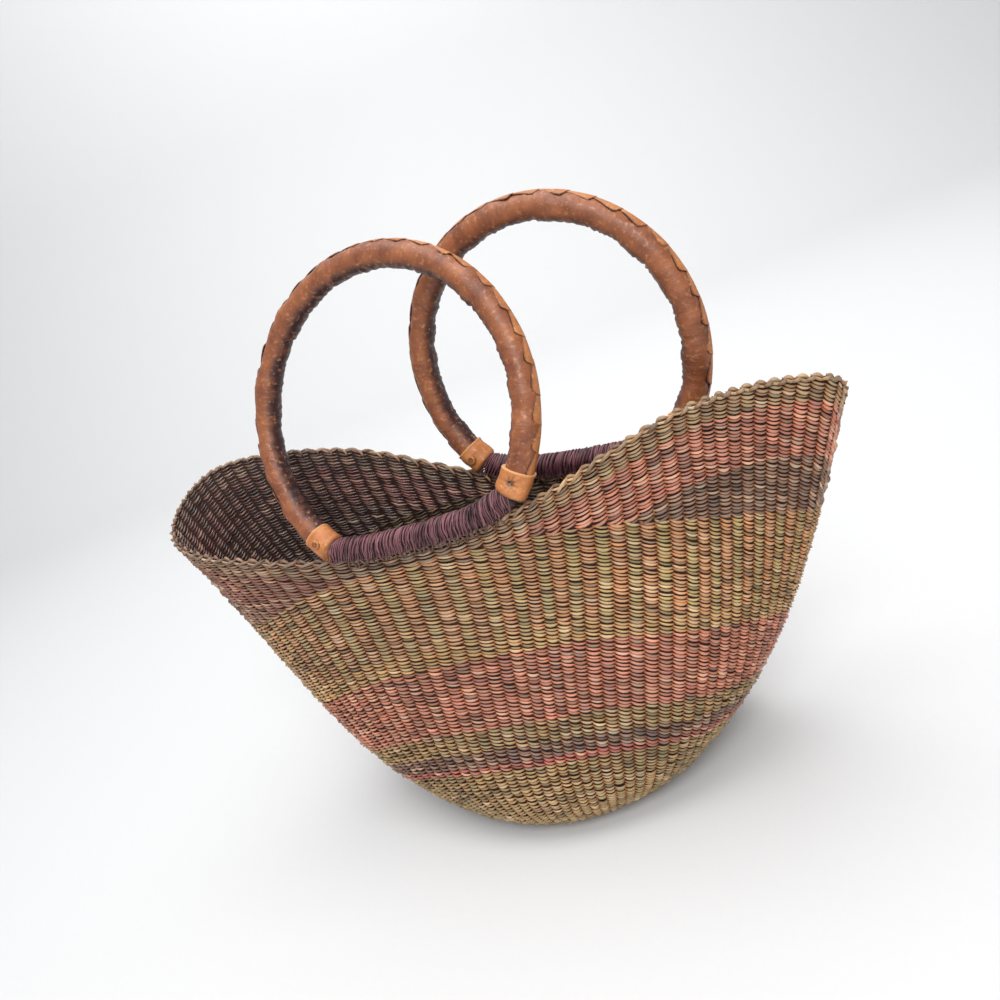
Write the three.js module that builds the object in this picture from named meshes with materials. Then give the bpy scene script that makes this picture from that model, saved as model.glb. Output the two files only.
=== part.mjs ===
import * as THREE from 'three';

// A twined straw shopping basket: a flat oval base, a wall that flares into two raised wings,
// and two round leather handles bound to the dips in the rim.
// Sizes are millimetres and angles are degrees. The origin is the middle of the base on the
// floor, +Z is up, +X points at the right wing and the front of the basket faces -Y.

// Driving dimensions of the woven body
const BASE_HALF_LENGTH = 62;
const BASE_HALF_WIDTH = 54.5;
const WALL = 4;
const GAP = 0.3;

// The outer edge of the rim at twelve even steps around the base, seen from above,
// anticlockwise from the right wing. The two dips hold the handles.
const RIM_STATIONS = [
  { place: 'right wing tip', x: 205, y: 4, z: 204 },
  { place: 'right wing, back', x: 180, y: 25, z: 172 },
  { place: 'back dip, right', x: 104, y: 26, z: 178 },
  { place: 'back dip, left', x: 9, y: 39, z: 184 },
  { place: 'left wing, rise at the back', x: -91, y: 43, z: 226 },
  { place: 'left wing, back', x: -180, y: 31, z: 242 },
  { place: 'left wing tip', x: -217, y: 4, z: 220 },
  { place: 'left wing, front', x: -194, y: -17, z: 202 },
  { place: 'front dip, left', x: -109, y: -24, z: 182 },
  { place: 'front dip, middle', x: -34, y: -30, z: 180 },
  { place: 'front dip, right', x: 37, y: -37, z: 191 },
  { place: 'right wing, front', x: 139, y: -28, z: 220 },
];

// The side view of the wall: how it leaves the base, and how far it leans out at the rim.
const BASE_RISE = 17;
const BASE_PULL = 0.336;
const RIM_PULL = 0.37;
const RIM_FLARE = { right: 24, left: 21, front: 7, back: 5 };

// Driving dimensions of the handles. A hoop is a round arc that stands on two points of the rim,
// given by their angle around the base. It leans towards the back.
const HANDLE_RADIUS = 8;
const HANDLES = {
  front: { hoopRadius: 88.5, leftAt: 248, rightAt: 300, leftRise: 8, rightRise: 9.5, lean: 22.5 },
  back: { hoopRadius: 81.5, leftAt: 93.5, rightAt: 57, leftRise: 8.5, rightRise: 8.5, lean: 3.5 },
};
const CAP = { length: 14, radius: 9.2 };
const SEAM = { halfWidth: 3.2, thickness: 1.8 };
const PEG = { radius: 3, height: 1.2, alongCap: 0.5 };
const WRAP = { halfWidth: 6.5, halfHeight: 6.5, lift: 0.7, lead: 2 };

// How finely the round shapes are cut into flat faces
const STEPS = { around: 72, up: 14, hoop: 38, cap: 3, wrap: 16, tubeSides: 16, wrapSides: 12, seamSide: 4 };

const COLORS = {
  straw: 0x9c8450,
  plumStraw: 0x6b4560,
  leather: 0x93522c,
  paleLeather: 0xc6854c,
};

const UP = new THREE.Vector3(0, 0, 1);
const BACK = new THREE.Vector3(0, 1, 0);

// The rim as one smooth closed curve through its stations
const rimCurve = new THREE.CatmullRomCurve3(
  RIM_STATIONS.map((station) => new THREE.Vector3(station.x, station.y, station.z)),
  true,
  'catmullrom',
  0.5,
);

function radians(degrees) {
  return THREE.MathUtils.degToRad(degrees);
}

function rimPoint(angle) {
  return rimCurve.getPoint((((angle % 360) + 360) % 360) / 360);
}

// How far the wall leans outward at the rim, blended between the wings and the dips
function rimFlare(angle) {
  const along = Math.cos(radians(angle));
  const across = Math.sin(radians(angle));
  const wing = along > 0 ? RIM_FLARE.right : RIM_FLARE.left;
  const dip = across > 0 ? RIM_FLARE.back : RIM_FLARE.front;
  return radians(wing * along ** 2 + dip * (1 - along ** 2));
}

// One rib of the basket, from the edge of the base to the rim
function rib(angle) {
  const along = Math.cos(radians(angle));
  const across = Math.sin(radians(angle));
  const flare = rimFlare(angle);
  const rise = radians(BASE_RISE);
  const foot = new THREE.Vector3(BASE_HALF_LENGTH * along, BASE_HALF_WIDTH * across, 0);
  const top = rimPoint(angle);
  const length = foot.distanceTo(top);
  const leaveBase = new THREE.Vector3(along * Math.cos(rise), across * Math.cos(rise), Math.sin(rise));
  const reachRim = new THREE.Vector3(along * Math.sin(flare), across * Math.sin(flare), Math.cos(flare));
  const low = foot.clone().addScaledVector(leaveBase, BASE_PULL * length);
  const high = top.clone().addScaledVector(reachRim, -RIM_PULL * length);
  return new THREE.CubicBezierCurve3(foot, low, high, top);
}

// A point on the outer face of the wall, at a share of the way up its rib
function outerPoint(angle, share) {
  return rib(angle).getPoint(share);
}

// The direction from the outer face towards the inside of the basket
function inwardNormal(angle, share) {
  const step = 0.5;
  const around = outerPoint(angle + step, share).sub(outerPoint(angle - step, share));
  const up = rib(angle).getTangent(share);
  return up.cross(around).normalize();
}

function innerPoint(angle, share) {
  return outerPoint(angle, share).addScaledVector(inwardNormal(angle, share), WALL);
}

function meshFromFaces(points, faces) {
  const geometry = new THREE.BufferGeometry();
  geometry.setAttribute('position', new THREE.Float32BufferAttribute(points.flatMap((p) => [p.x, p.y, p.z]), 3));
  geometry.setIndex(faces);
  return geometry;
}

// The faces between two neighbouring rings of points that have the same count
function bandBetweenRings(first, second, count) {
  const faces = [];
  for (let i = 0; i < count; i += 1) {
    const next = (i + 1) % count;
    faces.push(first + i, first + next, second + next);
    faces.push(first + i, second + next, second + i);
  }
  return faces;
}

// The hollow straw shell: up the outside, over the rim and down the inside to the floor
function wovenBody() {
  const points = [];
  const rings = [];
  const addRing = (pointAt, share) => {
    rings.push(points.length);
    for (let i = 0; i < STEPS.around; i += 1) {
      points.push(pointAt((360 * i) / STEPS.around, share));
    }
  };
  for (let row = 0; row <= STEPS.up; row += 1) {
    addRing(outerPoint, row / STEPS.up);
  }
  for (let row = STEPS.up; row >= 0; row -= 1) {
    addRing(innerPoint, row / STEPS.up);
  }
  const faces = [];
  for (let i = 0; i + 1 < rings.length; i += 1) {
    faces.push(...bandBetweenRings(rings[i], rings[i + 1], STEPS.around));
  }
  const floorRing = rings[rings.length - 1];
  const underside = points.push(new THREE.Vector3(0, 0, 0)) - 1;
  const floor = points.push(new THREE.Vector3(0, 0, points[floorRing].z)) - 1;
  for (let i = 0; i < STEPS.around; i += 1) {
    const next = (i + 1) % STEPS.around;
    faces.push(underside, next, i);
    faces.push(floor, floorRing + i, floorRing + next);
  }
  return meshFromFaces(points, faces);
}

// A bar with flat ends: one outline carried along a row of frames
function sweep(outline, frames) {
  const count = outline.length;
  const points = frames.flatMap((frame) => outline.map(([side, out]) => (
    frame.center.clone().addScaledVector(frame.side, side).addScaledVector(frame.out, out)
  )));
  const faces = [];
  for (let i = 0; i + 1 < frames.length; i += 1) {
    faces.push(...bandBetweenRings(i * count, (i + 1) * count, count));
  }
  const start = points.push(frames[0].center.clone().addScaledVector(frames[0].out, outlineMiddle(outline))) - 1;
  const lastFrame = frames[frames.length - 1];
  const end = points.push(lastFrame.center.clone().addScaledVector(lastFrame.out, outlineMiddle(outline))) - 1;
  const lastRing = (frames.length - 1) * count;
  for (let i = 0; i < count; i += 1) {
    const next = (i + 1) % count;
    faces.push(start, next, i);
    faces.push(end, lastRing + i, lastRing + next);
  }
  return meshFromFaces(points, faces);
}

function outlineMiddle(outline) {
  return outline.reduce((sum, [, out]) => sum + out, 0) / outline.length;
}

function ovalOutline(halfWidth, halfHeight, sides) {
  return Array.from({ length: sides }, (_, i) => {
    const turn = (2 * Math.PI * (i + 0.5)) / sides;
    return [halfWidth * Math.cos(turn), halfHeight * Math.sin(turn)];
  });
}

// The strip along a hoop: it hugs the round of the leather and stands a little proud of it
function seamOutline() {
  const inner = HANDLE_RADIUS + GAP;
  const reach = SEAM.halfWidth / inner;
  const arc = (radius, from, to) => Array.from({ length: STEPS.seamSide + 1 }, (_, i) => {
    const turn = from + ((to - from) * i) / STEPS.seamSide;
    return [radius * Math.sin(turn), radius * Math.cos(turn)];
  });
  return [...arc(inner, -reach, reach), ...arc(inner + SEAM.thickness, reach, -reach)];
}

// Where a hoop meets the rim: above the middle of the wall's edge
function footPoint(angle, rise) {
  return outerPoint(angle, 1).lerp(innerPoint(angle, 1), 0.5).addScaledVector(UP, rise);
}

// The plane, centre and ends of one hoop, worked out from the points that it stands on
function hoopLayout(handle) {
  const left = footPoint(handle.leftAt, handle.leftRise);
  const right = footPoint(handle.rightAt, handle.rightRise);
  const along = right.clone().sub(left).normalize();
  const plainBack = BACK.clone().addScaledVector(along, -BACK.dot(along)).normalize();
  const plainUp = along.clone().cross(plainBack);
  const lean = radians(handle.lean);
  const up = plainUp.clone().multiplyScalar(Math.cos(lean)).addScaledVector(plainBack, Math.sin(lean));
  const halfChord = left.distanceTo(right) / 2;
  const rise = Math.sqrt(handle.hoopRadius ** 2 - halfChord ** 2);
  const center = left.clone().add(right).multiplyScalar(0.5).addScaledVector(up, rise);
  const firstTurn = -Math.atan2(rise, halfChord);
  return { center, along, up, firstTurn, lastTurn: Math.PI - firstTurn, radius: handle.hoopRadius };
}

// One frame on a hoop: its turn is measured from the right foot over the top to the left foot
function hoopFrame(hoop, turn) {
  const out = hoop.along.clone().multiplyScalar(Math.cos(turn)).addScaledVector(hoop.up, Math.sin(turn));
  const side = hoop.along.clone().cross(hoop.up);
  return { center: hoop.center.clone().addScaledVector(out, hoop.radius), side, out };
}

function hoopFrames(hoop, from, to, steps) {
  return Array.from({ length: steps + 1 }, (_, i) => hoopFrame(hoop, from + ((to - from) * i) / steps));
}

function leatherHoop(hoop) {
  const covered = (CAP.length + GAP) / hoop.radius;
  const frames = hoopFrames(hoop, hoop.firstTurn + covered, hoop.lastTurn - covered, STEPS.hoop);
  return sweep(ovalOutline(HANDLE_RADIUS, HANDLE_RADIUS, STEPS.tubeSides), frames);
}

function hoopSeam(hoop) {
  const covered = (CAP.length + GAP) / hoop.radius;
  const frames = hoopFrames(hoop, hoop.firstTurn + covered, hoop.lastTurn - covered, STEPS.hoop);
  return sweep(seamOutline(), frames);
}

function hoopCap(hoop, isLeft) {
  const turned = CAP.length / hoop.radius;
  const from = isLeft ? hoop.lastTurn - turned : hoop.firstTurn;
  const frames = hoopFrames(hoop, from, from + turned, STEPS.cap);
  return sweep(ovalOutline(CAP.radius, CAP.radius, STEPS.tubeSides), frames);
}

// The plug on the front of a left sleeve
function hoopPeg(hoop) {
  const turn = hoop.lastTurn - (PEG.alongCap * CAP.length) / hoop.radius;
  const { center, side } = hoopFrame(hoop, turn);
  const geometry = new THREE.CylinderGeometry(PEG.radius, PEG.radius, PEG.height, STEPS.wrapSides);
  const forward = side.dot(BACK) > 0 ? side.clone().negate() : side.clone();
  const distance = CAP.radius + GAP + PEG.height / 2;
  geometry.applyQuaternion(new THREE.Quaternion().setFromUnitVectors(BACK, forward));
  geometry.translate(...center.addScaledVector(forward, distance).toArray());
  return geometry;
}

// The bound foot of a hoop: it leaves one sleeve, runs along the rim and meets the other sleeve
function rimWrap(handle, hoop) {
  const seat = WRAP.halfHeight + WRAP.lift;
  const leftFrame = hoopFrame(hoop, hoop.lastTurn + GAP / hoop.radius);
  const rightFrame = hoopFrame(hoop, hoop.firstTurn - GAP / hoop.radius);
  const leaveLeft = hoopFrame(hoop, hoop.lastTurn + WRAP.lead / hoop.radius).center;
  const leaveRight = hoopFrame(hoop, hoop.firstTurn - WRAP.lead / hoop.radius).center;
  const stops = [0.2, 0.35, 0.5, 0.65, 0.8].map((share) => (
    footPoint(THREE.MathUtils.lerp(handle.leftAt, handle.rightAt, share), seat)
  ));
  const path = new THREE.CatmullRomCurve3([leftFrame.center, leaveLeft, ...stops, leaveRight, rightFrame.center]);
  const frames = Array.from({ length: STEPS.wrap + 1 }, (_, i) => {
    const center = path.getPointAt(i / STEPS.wrap);
    const tangent = path.getTangentAt(i / STEPS.wrap);
    const side = UP.clone().cross(tangent).normalize();
    return { center, side, out: tangent.clone().cross(side) };
  });
  return sweep(ovalOutline(WRAP.halfWidth, WRAP.halfHeight, STEPS.wrapSides), frames);
}

function strawMaterial(color) {
  return new THREE.MeshStandardMaterial({ color, roughness: 0.75, metalness: 0 });
}

function leatherMaterial(color) {
  return new THREE.MeshStandardMaterial({ color, roughness: 0.45, metalness: 0 });
}

function addPiece(group, name, geometry, material) {
  const mesh = new THREE.Mesh(geometry, material);
  mesh.name = name;
  group.add(mesh);
}

function addHandle(group, name, handle) {
  const hoop = hoopLayout(handle);
  const leather = leatherMaterial(COLORS.leather);
  const paleLeather = leatherMaterial(COLORS.paleLeather);
  addPiece(group, `rim_wrap_${name}`, rimWrap(handle, hoop), strawMaterial(COLORS.plumStraw));
  addPiece(group, `handle_${name}`, leatherHoop(hoop), leather);
  addPiece(group, `handle_${name}_seam`, hoopSeam(hoop), paleLeather);
  addPiece(group, `handle_${name}_cap_left`, hoopCap(hoop, true), paleLeather);
  addPiece(group, `handle_${name}_cap_right`, hoopCap(hoop, false), paleLeather);
  addPiece(group, `handle_${name}_peg`, hoopPeg(hoop), leather);
}

const basket = new THREE.Group();
basket.name = 'straw_basket_bag';
addPiece(basket, 'woven_body', wovenBody(), strawMaterial(COLORS.straw));
addHandle(basket, 'front', HANDLES.front);
addHandle(basket, 'back', HANDLES.back);

export default basket;
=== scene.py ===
# %% [markdown]
# # A twined straw basket with leather hoop handles
# A basket like this starts as a flat oval of grass strands. Ribs run up from it, and pairs of dyed
# strands are twined round the ribs, row by row, until the wall opens into two wings with a dip
# between them. Two leather-covered hoops stand in the dips and are bound to the rim with fine
# straw. The solid model is loaded first and stays where it is: each piece made below takes the
# place of one of its solids, at the same size and place.

# %% Load the solid model
import math

import bmesh
import bpy
import numpy as np
from mathutils import Matrix, Vector


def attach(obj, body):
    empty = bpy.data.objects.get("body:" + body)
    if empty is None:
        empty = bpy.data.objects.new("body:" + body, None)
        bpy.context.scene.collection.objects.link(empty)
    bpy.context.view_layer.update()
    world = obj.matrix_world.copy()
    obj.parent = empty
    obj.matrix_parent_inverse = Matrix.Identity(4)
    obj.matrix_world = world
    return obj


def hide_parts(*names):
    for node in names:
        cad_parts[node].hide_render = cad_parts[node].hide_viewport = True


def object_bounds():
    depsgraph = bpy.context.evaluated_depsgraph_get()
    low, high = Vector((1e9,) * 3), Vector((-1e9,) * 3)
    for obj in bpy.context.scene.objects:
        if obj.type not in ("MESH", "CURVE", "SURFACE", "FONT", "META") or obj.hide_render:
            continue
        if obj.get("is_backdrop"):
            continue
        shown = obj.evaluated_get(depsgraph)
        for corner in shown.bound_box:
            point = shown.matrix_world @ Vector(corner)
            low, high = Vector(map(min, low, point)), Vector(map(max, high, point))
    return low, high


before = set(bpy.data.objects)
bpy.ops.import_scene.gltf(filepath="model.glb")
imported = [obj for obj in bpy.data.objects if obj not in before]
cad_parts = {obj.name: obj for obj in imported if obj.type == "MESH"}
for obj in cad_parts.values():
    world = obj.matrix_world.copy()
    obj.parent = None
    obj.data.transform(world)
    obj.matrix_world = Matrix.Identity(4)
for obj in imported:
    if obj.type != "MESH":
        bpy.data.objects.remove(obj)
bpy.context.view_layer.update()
MM = 0.001
print("solids:", len(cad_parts))

# %% [markdown]
# ## The view
# The picture looks down on the front from the right, and its camera was tilted. The
# camera is placed by four angles and sizes: round the basket, above it, tilted about its own
# axis, and the distance to the point it aims at.

# %% Camera
VIEW = {"around": 25.05, "above": 19.81, "tilt": 22.24, "distance": 0.514, "aim": (0.01375, 0.0, 0.185)}
SENSOR = 36.0
LENS = 32.4


def place_camera():
    """Sets the camera from its angles, its distance and the point it aims at."""
    around, above, tilt = (math.radians(VIEW[name]) for name in ("around", "above", "tilt"))
    back = Vector((math.sin(around) * math.cos(above), -math.cos(around) * math.cos(above), math.sin(above)))
    right = Vector((math.cos(around), math.sin(around), 0))
    up = back.cross(right)
    across = right * math.cos(tilt) - up * math.sin(tilt)
    upward = right * math.sin(tilt) + up * math.cos(tilt)
    camera = bpy.data.objects.new("camera", bpy.data.cameras.new("camera"))
    camera.data.lens = LENS
    camera.data.sensor_width = SENSOR
    camera.data.clip_start = 0.01
    turn = Matrix((across, upward, back)).transposed().to_4x4()
    camera.matrix_world = Matrix.Translation(Vector(VIEW["aim"]) + back * VIEW["distance"]) @ turn
    bpy.context.scene.collection.objects.link(camera)
    bpy.context.scene.camera = camera
    return camera


camera = place_camera()
print("camera stands at", tuple(round(x, 3) for x in camera.location))

# %% [markdown]
# ## The shape of the wall
# The rim is one smooth closed curve through twelve stations. Each rib is a curve from the edge of
# the base to the rim, flat where it leaves the base and steep where it meets the rim. The wall of
# the solid model follows the same rule, so the stitches made later lie on it. The angle runs
# anticlockwise from the right wing, seen from above, in degrees.

# %% Wall sizes
BASE_HALF_LENGTH = 62 * MM
BASE_HALF_WIDTH = 54.5 * MM
WALL = 4 * MM
BASE_RISE = math.radians(17)
BASE_PULL = 0.336
RIM_PULL = 0.37
RIM_FLARE = {name: math.radians(a) for name, a in (("right", 24), ("left", 21), ("front", 7), ("back", 5))}
RIM_STATIONS = (
    ("right wing tip", 205, 4, 204),
    ("right wing, back", 180, 25, 172),
    ("back dip, right", 104, 26, 178),
    ("back dip, left", 9, 39, 184),
    ("left wing, rise at the back", -91, 43, 226),
    ("left wing, back", -180, 31, 242),
    ("left wing tip", -217, 4, 220),
    ("left wing, front", -194, -17, 202),
    ("front dip, left", -109, -24, 182),
    ("front dip, middle", -34, -30, 180),
    ("front dip, right", 37, -37, 191),
    ("right wing, front", 139, -28, 220),
)
RIM = np.array([place for _, *place in RIM_STATIONS], float) * MM


def rim_point(angle):
    """The outer edge of the rim at an angle: a smooth curve through the stations."""
    place = np.mod(angle, 360.0) / 360.0 * len(RIM)
    start = np.floor(place).astype(int)
    w = (place - start)[..., None]
    before, first, second, after = (RIM[(start + k) % len(RIM)] for k in (-1, 0, 1, 2))
    leave = (second - before) / 2
    arrive = (after - first) / 2
    keep = 2 * w**3 - 3 * w**2 + 1
    return keep * first + (1 - keep) * second + (w**3 - 2 * w**2 + w) * leave + (w**3 - w**2) * arrive


def wall_point(angle, share):
    """A point on the outer face of the wall, at a share of the way up its rib."""
    angle, share = np.broadcast_arrays(np.asarray(angle, float), np.asarray(share, float))
    along = np.cos(np.radians(angle))
    across = np.sin(np.radians(angle))
    wing = np.where(along > 0, RIM_FLARE["right"], RIM_FLARE["left"])
    dip = np.where(across > 0, RIM_FLARE["back"], RIM_FLARE["front"])
    flare = wing * along**2 + dip * (1 - along**2)
    foot = np.stack([BASE_HALF_LENGTH * along, BASE_HALF_WIDTH * across, np.zeros_like(along)], -1)
    top = rim_point(angle)
    length = np.linalg.norm(top - foot, axis=-1, keepdims=True)
    rise = np.full_like(along, math.sin(BASE_RISE))
    leave_base = np.stack([along * math.cos(BASE_RISE), across * math.cos(BASE_RISE), rise], -1)
    reach_rim = np.stack([along * np.sin(flare), across * np.sin(flare), np.cos(flare)], -1)
    low = foot + BASE_PULL * length * leave_base
    high = top - RIM_PULL * length * reach_rim
    t = share[..., None]
    return (1 - t) ** 3 * foot + 3 * (1 - t) ** 2 * t * low + 3 * (1 - t) * t**2 * high + t**3 * top


def unit(vectors):
    """The same directions, one unit long."""
    return vectors / np.linalg.norm(vectors, axis=-1, keepdims=True)


def wall_normal(angle, share):
    """The direction out of the basket, square to the wall."""
    around = wall_point(angle + 0.5, share) - wall_point(angle - 0.5, share)
    low = np.clip(share - 0.005, 0, 1)
    up = wall_point(angle, low + 0.01) - wall_point(angle, low)
    return unit(np.cross(around, up))


ARC_STEPS = np.linspace(0, 1, 61)


def arc_table(angle):
    """The length along each rib at even steps of its share."""
    points = wall_point(angle[:, None], ARC_STEPS[None, :])
    steps = np.linalg.norm(np.diff(points, axis=1), axis=2)
    return np.concatenate([np.zeros((len(angle), 1)), np.cumsum(steps, axis=1)], axis=1)


def share_at_height(angle, height):
    """The share of each rib at which it has run a given length up from the base."""
    table = arc_table(angle)
    above = np.clip((table < height[:, None]).sum(axis=1), 1, len(ARC_STEPS) - 1)
    rows = np.arange(len(angle))
    low = table[rows, above - 1]
    part = (height - low) / (table[rows, above] - low)
    return np.clip((above - 1 + part) / (len(ARC_STEPS) - 1), 0, 1)


ALL_ANGLES = np.arange(0, 361.0)
RIB_LENGTHS = arc_table(ALL_ANGLES)[:, -1]
print("ribs are", (RIB_LENGTHS.min() / MM).round(), "to", (RIB_LENGTHS.max() / MM).round(), "mm long")

# %% [markdown]
# ## Where the stitches go
# Twining makes a grid that leans with the wall. A column of stitches stands over each rib, and a
# row is one turn of the two strands. The ribs start even round the base and end closer together
# in the wings, where more straw is drawn in. They lean a little on the way up, as hand-twined
# ribs do. Rows of the body rise together. In the wings the rows follow the rim instead. An array
# of angles and one of rows are enough to work out every place.

# %% Columns and rows
COLUMNS = 100
ROW_PITCH = 2.13 * MM
BODY_ROWS = 90
WING_ROWS = 72
WING_PITCH = 2.08 * MM
COLUMN_BLEND = 220 * MM
COLUMN_TWIST = 0.5
RIB_LEAN = -20
WING_CROWDING = 1.0
BODY_LENGTH = 191.9 * MM


def even_columns(weight):
    """Angles of the column edges, when each degree takes columns by its weight."""
    total = np.concatenate([[0], np.cumsum((weight[1:] + weight[:-1]) / 2)])
    return np.interp(np.arange(COLUMNS + 1) / COLUMNS * total[-1], total, ALL_ANGLES)


rim_speed = np.linalg.norm(rim_point(ALL_ANGLES + 0.5) - rim_point(ALL_ANGLES - 0.5), axis=1)
base_speed = np.hypot(
    BASE_HALF_LENGTH * np.sin(np.radians(ALL_ANGLES)), BASE_HALF_WIDTH * np.cos(np.radians(ALL_ANGLES)),
)
RIM_COLUMNS = even_columns(rim_speed * (1 + WING_CROWDING * np.cos(np.radians(ALL_ANGLES)) ** 4))
BASE_COLUMNS = even_columns(base_speed)


def around_edge(column, edges):
    """The angle of a column on one edge, for any number of turns."""
    turns = np.floor(column / COLUMNS)
    return np.interp(column - turns * COLUMNS, np.arange(COLUMNS + 1), edges) + 360 * turns


def column_angle(column, height):
    """The angle of a place across the columns, at a height along the rib."""
    low = around_edge(column + COLUMN_TWIST, BASE_COLUMNS)
    high = around_edge(column, RIM_COLUMNS)
    w = np.clip(height / COLUMN_BLEND, 0, 1)
    w = w * w * (3 - 2 * w)
    return low * (1 - w) + high * w + RIB_LEAN * height


def body_height(angle):
    """The length up the rib at which the body rows end and the wing rows begin."""
    c = np.cos(np.radians(angle))
    return BODY_LENGTH * (1 + 0.027 * c**2 - 0.034 * c - 0.023 * c**4)


def rib_length(angle):
    """The length of the rib at an angle, from the base to the rim."""
    return np.interp(np.mod(angle, 360), ALL_ANGLES, RIB_LENGTHS)


def row_height(angle, row, is_wing):
    """Body rows count up from the base, and wing rows count down from the rim."""
    body = (row + 0.5) / BODY_ROWS * body_height(angle)
    wing = rib_length(angle) - (row + 0.5) * WING_PITCH
    return np.where(is_wing, wing, body)


def grid_place(column, row, is_wing):
    """The angle, the share of the rib and the height of a place in the grid."""
    angle = column_angle(column, np.full_like(column, ROW_PITCH) * (row + 1))
    for _ in range(3):
        height = row_height(angle, row, is_wing)
        angle = column_angle(column, height)
    height = row_height(angle, row, is_wing)
    return angle, share_at_height(angle, height), height


print("columns:", COLUMNS, "body rows:", BODY_ROWS)

# %% [markdown]
# ## Dyed straw
# The grass is dyed in bundles, and each row is twined from two of them. A strand passes over every
# other rib, so two dyes in one row stand in columns, side by side. Colours are written as they
# look on a screen, from 0 to 255, and turned into the linear light that a shader needs.

# %% Dyes and bands
BASE_ROWS = 29
FIELD_FIRST_ROW = 65
BORDER_ROWS = 6
ROSE_WING_ROWS = 20


def linear(red, green, blue):
    """A screen colour as linear light."""
    share = np.array([red, green, blue]) / 255
    return np.where(share <= 0.04045, share / 12.92, ((share + 0.055) / 1.055) ** 2.4)


DYES = {
    "mustard": linear(174, 142, 92),
    "olive": linear(146, 120, 76),
    "tan": linear(184, 132, 88),
    "lime": linear(168, 146, 92),
    "crimson": linear(156, 72, 70),
    "plum": linear(92, 64, 66),
    "green": linear(144, 122, 78),
    "rose": linear(192, 122, 102),
    "dusk rose": linear(168, 102, 86),
    "mauve": linear(110, 68, 66),
    "brown": linear(122, 90, 76),
    "smoke": linear(104, 74, 66),
    "pale straw and sheen": linear(226, 196, 164),
    "straw border": linear(166, 138, 100),
    "olive border": linear(148, 116, 84),
    "grey border": linear(130, 106, 92),
    "dark field": linear(120, 104, 62),
}
BODY_BANDS = (
    ("base field", 0, BASE_ROWS, "olive", "green"),
    ("crimson line", BASE_ROWS, 31, "crimson", "crimson"),
    ("plum line", 31, 35, "plum", "smoke"),
    ("green band", 35, 41, "green", "olive"),
    ("rose band", 41, 60, "rose", "dusk rose"),
    ("plain edge", 60, FIELD_FIRST_ROW, "mustard", "mustard"),
    ("striped field", FIELD_FIRST_ROW, BODY_ROWS, "tan", "lime"),
)
WING_BANDS = (
    ("border", 0, BORDER_ROWS, "straw border", "olive border"),
    ("rose wing", BORDER_ROWS, ROSE_WING_ROWS, "rose", "dusk rose"),
    ("plum wing", ROSE_WING_ROWS, WING_ROWS, "brown", "smoke"),
)


def band_dyes(bands, rows):
    """The two dyes of each row, as one array: row, strand, colour."""
    chart = np.zeros((rows, 2, 3))
    for _, first, last, even, odd in bands:
        chart[first:last, 0] = DYES[even]
        chart[first:last, 1] = DYES[odd]
    return chart


BODY_CHART = band_dyes(BODY_BANDS, BODY_ROWS)
WING_CHART = band_dyes(WING_BANDS, WING_ROWS)
print("bands:", len(BODY_BANDS) + len(WING_BANDS))

# %% [markdown]
# ## The places of all stitches
# Each stitch is one point with facts for the node tree below: which way it runs, which way it
# faces, how large it is, its dye and its shade. The numbers come from the grid, with small seeded
# changes, because no two strands of grass are alike.

# %% Lay out the grid
def grid_cells():
    """Every column of every row that lies on the wall."""
    body_columns, body_rows = np.meshgrid(np.arange(COLUMNS), np.arange(BODY_ROWS))
    wing_columns, wing_rows = np.meshgrid(np.arange(COLUMNS), np.arange(WING_ROWS))
    column = np.concatenate([body_columns.ravel(), wing_columns.ravel()]).astype(float)
    row = np.concatenate([body_rows.ravel(), wing_rows.ravel()]).astype(float)
    is_wing = np.concatenate([np.zeros(body_columns.size, bool), np.ones(wing_columns.size, bool)])
    angle, _, height = grid_place(column + 0.5, row, is_wing)
    on_wall = ~is_wing | (height > body_height(angle) - 0.3 * WING_PITCH)
    on_wall &= height < rib_length(angle) - 0.3 * WING_PITCH
    return column[on_wall], row[on_wall], is_wing[on_wall]


def slow_noise(column, row, size, seed):
    """A smooth seeded change over the grid, from about -1 to 1."""
    waves = np.random.default_rng(seed)
    total = np.zeros_like(column)
    for _ in range(6):
        around = waves.integers(1, max(2, int(COLUMNS / size)))
        up = waves.uniform(-1, 1)
        total += np.sin(2 * np.pi * (column / COLUMNS * around + row / size * up + waves.random()))
    return total / 3


cell_column, cell_row, cell_is_wing = grid_cells()
CELLS = len(cell_column)
start_angle, start_share, _ = grid_place(cell_column, cell_row, cell_is_wing)
end_angle, end_share, _ = grid_place(cell_column + 1, cell_row, cell_is_wing)
mid_angle, mid_share, mid_height = grid_place(cell_column + 0.5, cell_row, cell_is_wing)
cell_normal = wall_normal(mid_angle, mid_share)
print("stitches on each face:", CELLS)


# %% Dye each stitch
# painted shade, partly the inside's own colour: the inside stitches are darkened, as the inside of the basket
# lies in shade
INSIDE_SHADE = np.array([0.44, 0.36, 0.42])
LEFT_DULLING = {"field": 0.3, "border": 0.8, "rose wing": 0.8}
# pale straw and painted sheen: how far stitches are mixed towards pale straw, outside and inside
PALE_AND_SHEEN = {"often": 0.1, "seldom": 0.42, "share": 0.16, "inside": 0.35}
DULL = {"share": 0.12, "shade": 0.55}


def on_left(angle):
    """One on the left of the basket, and nothing on the right, with a soft step between."""
    return np.clip(0.5 - 1.6 * np.cos(np.radians(angle - 25)), 0, 1)


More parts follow.
